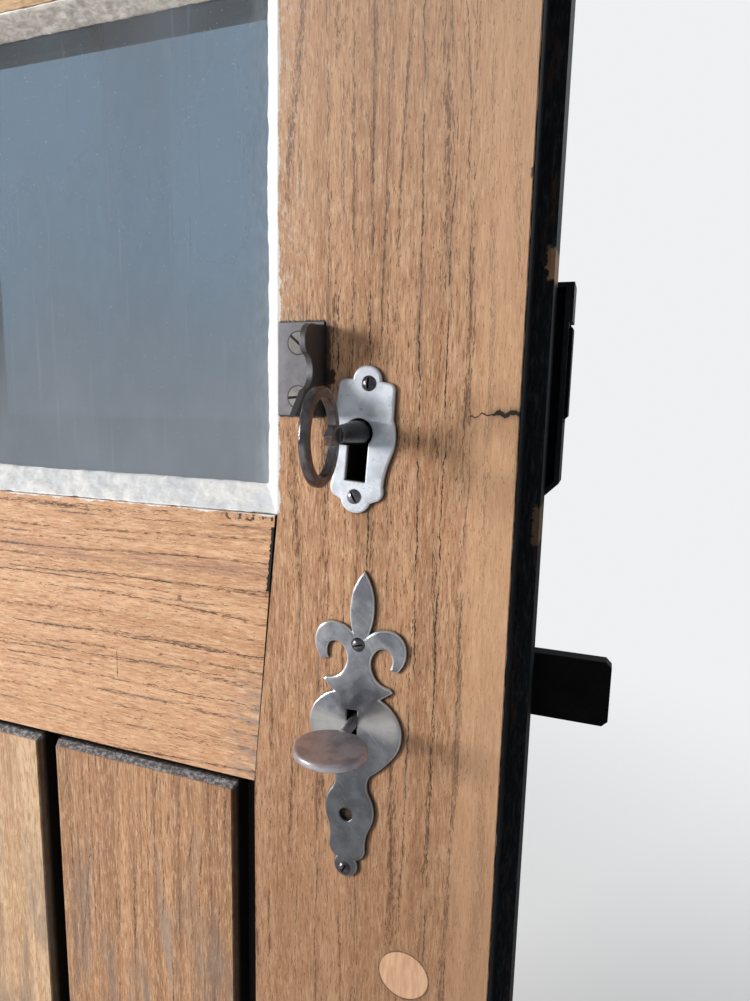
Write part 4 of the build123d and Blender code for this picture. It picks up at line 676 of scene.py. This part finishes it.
RAIL_CRACKS = (
    (0.08, 0.25, 1098.0, 1099.3, 0.6), (-0.10, 0.165, 1081.0, 1085.8, 0.6), (0.0, 0.09, 1076.0, 1074.8, 0.8),
    (0.14, 0.25, 1073.2, 1074.0, 0.5), (-0.05, 0.25, 1059.0, 1064.6, 0.9), (0.03, 0.22, 1050.0, 1054.2, 0.5),
    (-0.10, 0.25, 1024.0, 1027.0, 1.0), (0.0, 0.222, 1010.5, 1013.0, 0.75), (0.125, 0.25, 999.6, 996.6, 0.8),
    (0.03, 0.122, 998.0, 997.0, 0.45), (0.10, 0.20, 987.5, 992.6, 0.5), (-0.10, 0.165, 973.0, 969.9, 0.6),
    (0.12, 0.215, 974.8, 974.8, 0.5), (-0.22, 0.02, 1040.0, 1043.0, 0.7), (-0.22, 0.0, 985.0, 988.0, 0.6))
BOTTOM_RAIL_CRACKS = ((-0.2, 0.2, 60, 64, 0.9), (-0.1, 0.23, 110, 113, 0.8), (-0.22, 0.15, 190, 187, 0.9))
BOARD_CRACKS = (
    (0.77, 0.89, 88.0, 103.7, 0.9), (0.885, 0.97, 103.5, 104.6, 0.9), (0.80, 0.97, 122.0, 128.0, 0.5),
    (0.80, 0.93, 134.0, 141.7, 0.7), (0.84, 0.89, 144.7, 147.0, 0.5), (0.885, 0.96, 146.9, 160.0, 0.6),
    (0.83, 0.892, 157.0, 159.7, 0.6), (0.886, 0.96, 159.6, 171.0, 0.5), (0.86, 0.925, 171.0, 184.2, 0.6),
    (0.84, 0.912, 183.7, 187.9, 0.6), (0.908, 0.96, 187.8, 198.0, 0.6), (0.80, 0.91, 196.0, 200.5, 0.7),
    (0.906, 0.96, 200.4, 208.0, 0.6), (0.70, 0.83, 163.5, 163.7, 0.9), (0.30, 0.78, 110.0, 92.0, 0.9),
    (0.35, 0.72, 150.0, 148.0, 0.8), (0.26, 0.82, 190.0, 195.0, 0.8))

lock_stile_wood = timber("lock_stile_wood", leaf_place, STILE_LOOK, STILE_CRACKS, lock_stile_extra)
hinge_stile_wood = timber("hinge_stile_wood", leaf_place, {**STILE_LOOK, "shift": 19.0}, HINGE_STILE_CRACKS,
                          edge_extra(hinge_side))
rail_wood = timber("rail_wood", level(leaf_place), RAIL_LOOK, RAIL_CRACKS, rail_extra)
bottom_rail_wood = timber("bottom_rail_wood", level(leaf_place), {**BOARD_LOOK, "shift": 71.0},
                          BOTTOM_RAIL_CRACKS)
board_wood = timber("board_wood", leaf_place, BOARD_LOOK, BOARD_CRACKS, board_extra)
smooth_board_wood = timber("smooth_board_wood", leaf_place, SMOOTH_BOARD_LOOK, (), board_extra)
bar_wood = timber("bar_wood", level(leaf_place), BAR_LOOK)
upright_bar_wood = timber("upright_bar_wood", leaf_place, {**BAR_LOOK, "shift": 91.0})
jamb_wood = timber("jamb_wood", frame_place, FRAME_LOOK)
sill_wood = timber("sill_wood", level(frame_place), {**FRAME_LOOK, "grey": 0.85, "shift": 23.0})


# Metal

def plain_material(name, place_of, light, dark, rough, grain=220.0, metallic=0.0, rough_change=0.1,
                   depth=0.0002, speck=None, edge=None, grime=None, uneven=0.0, shine=0.5, soft=0.0):
    """Two clouded tones, with worn specks, an edge tone, grime and painted shade in the slots, an uneven face
    and rounded arrises where asked. A lighter edge tone is wear; a darker one is painted shade."""
    made, tree, surface = material(name)
    place = place_of(tree)
    cloud = cloudy(tree, place, (grain * 0.3,) * 3, 0.0, 4, 0.6)
    fine = cloudy(tree, place, (grain * 4,) * 3, 3.0, 3, 0.6)
    colour = mix(tree, step(tree, cloud, 0.38, 0.64), rgb(dark), rgb(light))
    if speck:
        spots = step(tree, cloudy(tree, place, (grain * 1.7,) * 3, 8.0, 4, 0.7), 0.6, 0.72)
        colour = paint(tree, colour, speck, spots, 0.7)
    roughness = calc(tree, "MULTIPLY_ADD", cloud, rough_change, rough - rough_change / 2)
    if edge:
        slope = step(tree, calc(tree, "ABSOLUTE", normal_parts(tree)[0]), 0.97, 0.86)
        colour = paint(tree, colour, edge, slope, 0.8)
    # Grime and painted shade deep in the slots
    if grime:
        colour = paint(tree, colour, grime, step(tree, shut_in(tree, 0.0018, True, 8), 0.16, 0.42), 0.95)
    put(tree, surface.inputs["Base Color"], colour)
    put(tree, surface.inputs["Roughness"], roughness)
    rounded = None
    if soft:
        arris = add(tree, "ShaderNodeBevel", samples=6)
        arris.inputs["Radius"].default_value = soft
        rounded = arris.outputs[0]
    normal = bump(tree, fine, depth, 0.5, rounded)
    if uneven:
        normal = bump(tree, cloudy(tree, place, (70, 70, 70), 5, 2), uneven, 1.0, normal)
    put(tree, surface.inputs["Normal"], normal)
    surface.inputs["Metallic"].default_value = metallic
    surface.inputs["Specular IOR Level"].default_value = shine
    return made


def scratched(name, light, dark, rough, marks, metallic=1.0, uneven=0.0006, **options):
    """Handled iron with fine scratches."""
    made = plain_material(name, leaf_place, light, dark, rough, grain=260.0, metallic=metallic,
                          rough_change=0.16, depth=0.00012, uneven=uneven, **options)
    tree, socket, colour = base_colour(made)
    place = leaf_place(tree)
    x, y, z = place
    slanting = (calc(tree, "MULTIPLY_ADD", z, 0.8, x), y, calc(tree, "SUBTRACT", z, x))
    scratch = step(tree, cloudy(tree, slanting, (1900, 400, 60), 0.0, 1), 0.66, 0.7)
    kept = step(tree, cloudy(tree, place, (60, 60, 60), 2), 0.45, 0.6)
    put(tree, socket, paint(tree, colour, marks, scratch, kept, 0.6))
    return made


def painted_keyhole_sheen(made, keyhole, near=0.028):
    """Painted sheen round the keyhole, as filed marks shine: a streaked fan of painted highlight and painted
    shade.
    """
    tree, socket, colour = base_colour(made)
    x, y, z = leaf_place(tree)
    away = reach(tree, x, z, keyhole)
    across, above = (calc(tree, "SUBTRACT", value, middle) for value, middle in zip((x, z), keyhole))
    angle = calc(tree, "ARCTAN2", above, across)
    fan = calc(tree, "COSINE", calc(tree, "MULTIPLY_ADD", angle, 2.0, -0.5))
    here = step(tree, away, near, near * 0.75)
    streaks = calc(tree, "MULTIPLY_ADD", wander(tree, angle, 9.0, 0.0, 3.0), 0.5, 0.75)
    # Painted highlight where the fan is bright, painted shade where it is dark
    colour = paint(tree, colour, "d9d6d2", step(tree, fan, 0.05, 0.95), here, streaks, 0.65)
    put(tree, socket, paint(tree, colour, "4c4f53", step(tree, fan, -0.1, -0.9), here, 0.3))
    return made


def painted_slot_shade(made, rows):
    """Painted shade: black slots, and a fine dark line round flush screw heads. Each row: x, z, angle of the
    slot.
    """
    tree, socket, colour = base_colour(made)
    x, y, z = leaf_place(tree)
    for x0, z0, angle in rows:
        away = reach(tree, x, z, (x0, z0))
        dx = calc(tree, "SUBTRACT", x, x0)
        dz = calc(tree, "SUBTRACT", z, z0)
        across = calc(tree, "SUBTRACT", times(tree, dz, math.cos(angle)), times(tree, dx, math.sin(angle)))
        slot = times(tree, step(tree, calc(tree, "ABSOLUTE", across), SLOT_HALF + 0.0001, SLOT_HALF),
                     step(tree, away, FLUSH_SCREW_HEAD, FLUSH_SCREW_HEAD - 0.0002))
        rim = span(tree, away, FLUSH_SCREW_HEAD - 0.00015, FLUSH_SCREW_HEAD + 0.0002, 0.00025)
        marks = calc(tree, "MAXIMUM", slot, times(tree, rim, 0.75))
        colour = paint(tree, colour, "0b0a09", marks, 0.96)
    put(tree, socket, colour)
    return made


def shaded(made, shade, share, start, end, axis=1):
    """Darkens a material between two places of the drawing."""
    tree, socket, colour = base_colour(made)
    put(tree, socket, paint(tree, colour, shade, step(tree, leaf_place(tree)[axis], start, end), share))
    return made


upper_plate_iron = scratched("upper_plate_iron", "dadfe7", "bcc2cd", 0.46, "e2e4e6", edge="e4e7ea",
                             speck="7d8188", metallic=0.55, soft=0.0012)
fleur_iron = scratched("fleur_iron", "9da0a6", "7e8188", 0.33, "c9cbcf", edge="f0f1f3", uneven=0.0010,
                       soft=0.0014)
shaded(painted_keyhole_sheen(fleur_iron, FLEUR_KEYHOLE), "36373a", 0.62, 1.03, 0.955, 2)
# The darker edge tone here is painted shade on the sides of the lug and on the arrises
flush_iron = scratched("flush_iron", "6b6a6e", "5d5c60", 0.48, "858487", edge="5a5758", grime="141110",
                       uneven=0.0003, metallic=0.75, soft=0.0006)
painted_slot_shade(flush_iron, FLUSH_SCREWS)
upper_key_iron = scratched("upper_key_iron", "787375", "524d50", 0.2, "a5a0a0", metallic=0.85, soft=0.0010)
shaded(upper_key_iron, "110f0d", 0.94, -0.031, -0.027)
lower_key_iron = scratched("lower_key_iron", "bcb5ba", "9a9298", 0.34, "d6d0ce", speck="6d6468", metallic=0.6,
                           soft=0.0010)
screw_iron = scratched("screw_iron", "77757a", "4f4c4e", 0.3, "a9a6a4", grime="0c0a09")
pale_screw_iron = scratched("pale_screw_iron", "7d7977", "696664", 0.42, "aaa6a1", grime="0c0a09",
                            uneven=0.0003, metallic=0.75)
painted_slot_shade(pale_screw_iron, FLUSH_SCREWS)
BLACKENED = {"grain": 140.0, "rough_change": 0.2}
lock_iron = plain_material("lock_iron", leaf_place, "1d1e22", "121316", 0.55, depth=0.0003, speck="231e1a",
                           shine=0.08, **BLACKENED)
bolt_iron = plain_material("bolt_iron", leaf_place, "0d0d0f", "060607", 0.5, depth=0.0003, speck="1a1715",
                           shine=0.04, **BLACKENED)
hinge_iron = plain_material("hinge_iron", frame_place, "2b2b30", "1a1b1e", 0.42, speck="4a4038", **BLACKENED)
spring_iron = plain_material("spring_iron", leaf_place, "6c6f76", "4c4f57", 0.35, grain=200.0, metallic=1.0)
dowel_wood = plain_material("dowel_wood", frame_place, "b08a63", "8d6c4d", 0.6, grain=300.0)


# Putty, plug and glass

def putty_material():
    """White putty with brush marks. The fillets that face down are painted grey: painted shade."""
    made, tree, surface = material("white_putty")
    place = leaf_place(tree)
    cloud = cloudy(tree, place, (60, 60, 60), 0.0, 3, 0.6)
    rub = cloudy(tree, place, (230, 500, 330), 3, 4, 0.7)
    colour = mix(tree, step(tree, cloud, 0.35, 0.65), rgb("cccfd2"), rgb("dedddb"))
    colour = paint(tree, colour, "9fa3a8", step(tree, rub, 0.6, 0.74), 0.6)
    painted_shade_below = mix(tree, step(tree, rub, 0.4, 0.62), rgb("a39c95"), rgb("bfbab3"))
    # Painted shade on the faces that look down
    colour = mix(tree, step(tree, normal_parts(tree)[2], -0.2, -0.45), colour, painted_shade_below)
    put(tree, surface.inputs["Base Color"], colour)
    surface.inputs["Roughness"].default_value = 0.6
    height = calc(tree, "ADD", cloud, times(tree, rub, 0.4))
    put(tree, surface.inputs["Normal"], bump(tree, height, 0.0008, 0.8))
    return made


def plug_material():
    made, tree, surface = material("plug_wood")
    place = leaf_place(tree)
    fibre = cloudy(tree, place, (600, 200, 60), 2, 3, 0.6)
    broad = cloudy(tree, place, (90, 60, 30), 2)
    colour = mix(tree, step(tree, fibre, 0.35, 0.65), rgb("c29775"), rgb("d4ab89"))
    colour = paint(tree, colour, "bf8f6f", step(tree, broad, 0.5, 0.7), 0.4)
    put(tree, surface.inputs["Base Color"], colour)
    surface.inputs["Roughness"].default_value = 0.6
    put(tree, surface.inputs["Normal"], bump(tree, fibre, 0.0002, 0.5))
    return made


def glass_dust(tree, place):
    """How far the glass is dimmed: an uneven film, thicker at the foot and by the putty, specks and runs."""
    smear = cloudy(tree, place, (9, 9, 5), 3, 4, 0.6)
    specks = step(tree, cloudy(tree, place, (900, 900, 900), 6, 1), 0.74, 0.8)
    runs = step(tree, cloudy(tree, place, (260, 50, 12), 9, 2), 0.62, 0.75)
    rubbed = step(tree, cloudy(tree, place, (40, 40, 14), 21, 4, 0.7), 0.34, 0.62)
    by_putty = times(tree, step(tree, calc(tree, "ABSOLUTE", place[0]), 0.206, 0.234), rubbed)
    foot = step(tree, place[2], RAIL_TOP + 0.16, RAIL_TOP + 0.02)
    amount = calc(tree, "MULTIPLY_ADD", step(tree, smear, 0.3, 0.75), 0.22, 0.14)
    for more, share in ((foot, 0.5), (by_putty, 0.42), (specks, 0.4), (runs, 0.08)):
        amount = calc(tree, "MULTIPLY_ADD", more, share, amount)
    return calc(tree, "MINIMUM", amount, 1.0)


def glass_material():
    """Old window glass: a blue cast, waves and dust."""
    made, tree, surface = material("pane_glass")
    place = leaf_place(tree)
    surface.inputs["Base Color"].default_value = rgb("8299ad")
    surface.inputs["Transmission Weight"].default_value = 1.0
    surface.inputs["IOR"].default_value = 1.5
    surface.inputs["Roughness"].default_value = 0.02
    put(tree, surface.inputs["Normal"], bump(tree, cloudy(tree, place, (7, 7, 5), 0.0, 1), 0.002, 0.4))
    film = add(tree, "ShaderNodeBsdfDiffuse")
    film.inputs["Color"].default_value = rgb("c6d0da")
    layered(tree, glass_dust(tree, place), surface, film)
    return made


white_putty = putty_material()
plug_wood = plug_material()
pane_glass = glass_material()


# Hand-worked putty

PUTTY_GRAIN = 0.0016
PUTTY_FINE_GRAIN = 0.0011
PUTTY_SWELL = 0.0002


def worked_putty(name, grain):
    """Stands for a CAD fillet: the same body with an uneven, hand-pressed face and wandering edges."""
    made = bpy.data.objects.new(f"worked_{name}", parts[name].data.copy())
    bpy.context.collection.objects.link(made)
    finer = made.modifiers.new("finer", "REMESH")
    finer.mode = "VOXEL"
    finer.voxel_size = grain
    bpy.context.view_layer.update()
    mesh = bpy.data.meshes.new_from_object(made.evaluated_get(bpy.context.evaluated_depsgraph_get()))
    made.modifiers.clear()
    made.data = mesh
    moves = []
    for vertex in mesh.vertices:
        place = vertex.co
        swell = solid_noise.noise(place * 45.0) * 0.0007
        dent = solid_noise.noise(place * 160.0 + Vector((3.0, 0.0, 0.0))) * 0.0005
        ripple = solid_noise.noise(Vector((place.x * 300.0, place.y * 620.0, place.z * 620.0))) * 0.0002
        moves.append(vertex.normal * (PUTTY_SWELL + swell + dent + ripple))
    for vertex, move in zip(mesh.vertices, moves):
        vertex.co += move
    for polygon in mesh.polygons:
        polygon.use_smooth = True
    mesh.materials.clear()
    mesh.materials.append(white_putty)
    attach(made, "leaf")
    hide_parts(name)


for pane in PANES:
    worked_putty(f"putty_{pane}", PUTTY_FINE_GRAIN if pane == "lower_right" else PUTTY_GRAIN)


# Materials on the CAD nodes

def dress(look, *names):
    """Gives CAD nodes their material."""
    for name in names:
        for slot in parts[name].material_slots:
            slot.material = look


dress(lock_stile_wood, "lock_stile")
dress(hinge_stile_wood, "hinge_stile")
dress(rail_wood, "lock_rail")
dress(bottom_rail_wood, "bottom_rail")
dress(board_wood, "board_left", "board_right")
dress(smooth_board_wood, "board_middle")
for side, degrees in (("left", 60), ("crown", 0), ("right", -60)):
    angle = math.radians(degrees)
    leaf_look = {**STILE_LOOK, "shift": 40 + angle}
    frame_look = {**FRAME_LOOK, "shift": 60 + angle}
    leaf_wood = timber(f"leaf_arch_{side}_wood", slanted(leaf_place, angle), leaf_look,
                       extra=edge_extra(arch_side))
    frame_wood = timber(f"frame_arch_{side}_wood", slanted(frame_place, angle), frame_look)
    dress(leaf_wood, f"leaf_arch_{side}")
    dress(frame_wood, f"frame_arch_{side}")
dress(upright_bar_wood, "glazing_bar_upright")
dress(bar_wood, "glazing_bar_lower", "glazing_bar_upper")
dress(jamb_wood, "hinge_jamb", "lock_jamb")
dress(sill_wood, "threshold")
dress(dowel_wood, "frame_dowels")
dress(plug_wood, "wood_plug")
dress(pane_glass, *(f"pane_{pane}" for pane in PANES))
dress(upper_plate_iron, "upper_escutcheon")
dress(fleur_iron, "lower_escutcheon")
dress(flush_iron, "flush_plate")
dress(pale_screw_iron, "flush_plate_screws")
dress(upper_key_iron, "upper_key")
dress(lower_key_iron, "lower_key")
dress(screw_iron, "escutcheon_screws", "leaf_screws", "frame_screws")
dress(lock_iron, "upper_lock_case", "lower_lock_case", "upper_keeper", "lower_keeper")
dress(bolt_iron, "upper_bolt", "lower_bolt")
dress(spring_iron, "upper_bolt_spring", "lower_bolt_spring")
for number in (1, 2, 3):
    dress(hinge_iron, f"hinge_frame_plate_{number}", f"hinge_leaf_plate_{number}", f"hinge_pin_{number}")


# Floor, light and camera

BACKDROP = (0.9, 0.91, 0.92, 1)
BACKDROP_STRENGTH = 0.96
WORLD_COLOUR = (0.93, 0.96, 1.0, 1)
WORLD_LIGHT = 0.36
FLOOR_REACH = 30.0
FLOOR_COLOUR = (0.7, 0.7, 0.7, 1)
FLOOR_FADE = (1.3, 3.2)
CAMERA_PLACE = (-0.018, 0.8233, 1.168)
CAMERA_RIGHT = Vector((-0.33308, 0.94262, 0.02277))
CAMERA_UP = Vector((-0.13624, -0.07200, 0.98806))
CAMERA_FORWARD = Vector((-0.93301, -0.32600, -0.15240))
CAMERA_LENS = 23.38


def floor():
    """A pale floor that runs into the backdrop's colour far from the door."""
    mesh = bpy.data.meshes.new("floor")
    corners = [(x * FLOOR_REACH, y * FLOOR_REACH, 0) for x, y in ((-1, -1), (1, -1), (1, 1), (-1, 1))]
    mesh.from_pydata(corners, [], [(0, 1, 2, 3)])
    made = bpy.data.objects.new("floor", mesh)
    bpy.context.collection.objects.link(made)
    look, tree, surface = material("floor_paint")
    surface.inputs["Base Color"].default_value = FLOOR_COLOUR
    surface.inputs["Roughness"].default_value = 0.9
    surface.inputs["Specular IOR Level"].default_value = 0.0
    x, y, z = frame_place(tree)
    far = times(tree, step(tree, reach(tree, x, y), *FLOOR_FADE),
                add(tree, "ShaderNodeLightPath").outputs["Is Camera Ray"])
    glow = add(tree, "ShaderNodeEmission")
    glow.inputs["Color"].default_value = BACKDROP
    glow.inputs["Strength"].default_value = BACKDROP_STRENGTH
    layered(tree, far, surface, glow)
    mesh.materials.append(look)


def sky():
    """Even pale light all round, and a pale backdrop."""
    world = bpy.data.worlds.new("studio")
    bpy.context.scene.world = world
    world.use_nodes = True
    tree = world.node_tree
    tree.nodes.clear()
    path = add(tree, "ShaderNodeLightPath")
    seen = calc(tree, "MAXIMUM", path.outputs["Is Camera Ray"], path.outputs["Is Transmission Ray"])
    back = add(tree, "ShaderNodeBackground")
    put(tree, back.inputs["Color"], mix(tree, seen, WORLD_COLOUR, BACKDROP))
    strength = calc(tree, "MULTIPLY_ADD", seen, BACKDROP_STRENGTH - WORLD_LIGHT, WORLD_LIGHT)
    put(tree, back.inputs["Strength"], strength)
    out = add(tree, "ShaderNodeOutputWorld")
    tree.links.new(back.outputs[0], out.inputs[0])


def area_light(name, place, target, size, power, colour):
    data = bpy.data.lights.new(name, "AREA")
    data.shape = "DISK"
    data.size = size
    data.energy = power
    data.color = colour
    made = bpy.data.objects.new(name, data)
    made.location = place
    made.rotation_euler = (Vector(target) - Vector(place)).to_track_quat("-Z", "Y").to_euler()
    made.visible_camera = False
    bpy.context.collection.objects.link(made)
    return made


def keep_off_the_glass(lamp):
    """The lamp lights everything but the panes."""
    shy = bpy.data.collections.new("without_the_window_lamp")
    for pane in PANES:
        shy.objects.link(parts[f"pane_{pane}"])
    for member in shy.collection_objects:
        member.light_linking.link_state = "EXCLUDE"
    lamp.light_linking.receiver_collection = shy


def photograph_camera():
    data = bpy.data.cameras.new("camera")
    data.lens = CAMERA_LENS
    data.sensor_width = 36.0
    data.clip_start = 0.01
    data.clip_end = 100.0
    made = bpy.data.objects.new("camera", data)
    bpy.context.collection.objects.link(made)
    turn = Matrix((CAMERA_RIGHT, CAMERA_UP, -CAMERA_FORWARD)).transposed().to_4x4()
    made.matrix_world = Matrix.Translation(CAMERA_PLACE) @ turn
    bpy.context.scene.camera = made


floor()
sky()
window = area_light("window", place=(2.218, -2.74, 1.56), target=(-0.318, 0.62, 1.1), size=1.2, power=236,
                    colour=(1.0, 0.985, 0.96))
keep_off_the_glass(window)
area_light("front", place=(-1.2, -3.2, 2.6), target=(0.0, 0.2, 1.0), size=2.0, power=60,
           colour=(1.0, 0.99, 0.97))
area_light("side", place=(-3.0, 2.2, 2.6), target=(-0.3, 0.4, 1.0), size=2.0, power=50,
           colour=(0.97, 0.985, 1.0))
photograph_camera()
bpy.context.scene.view_settings.view_transform = "Standard"
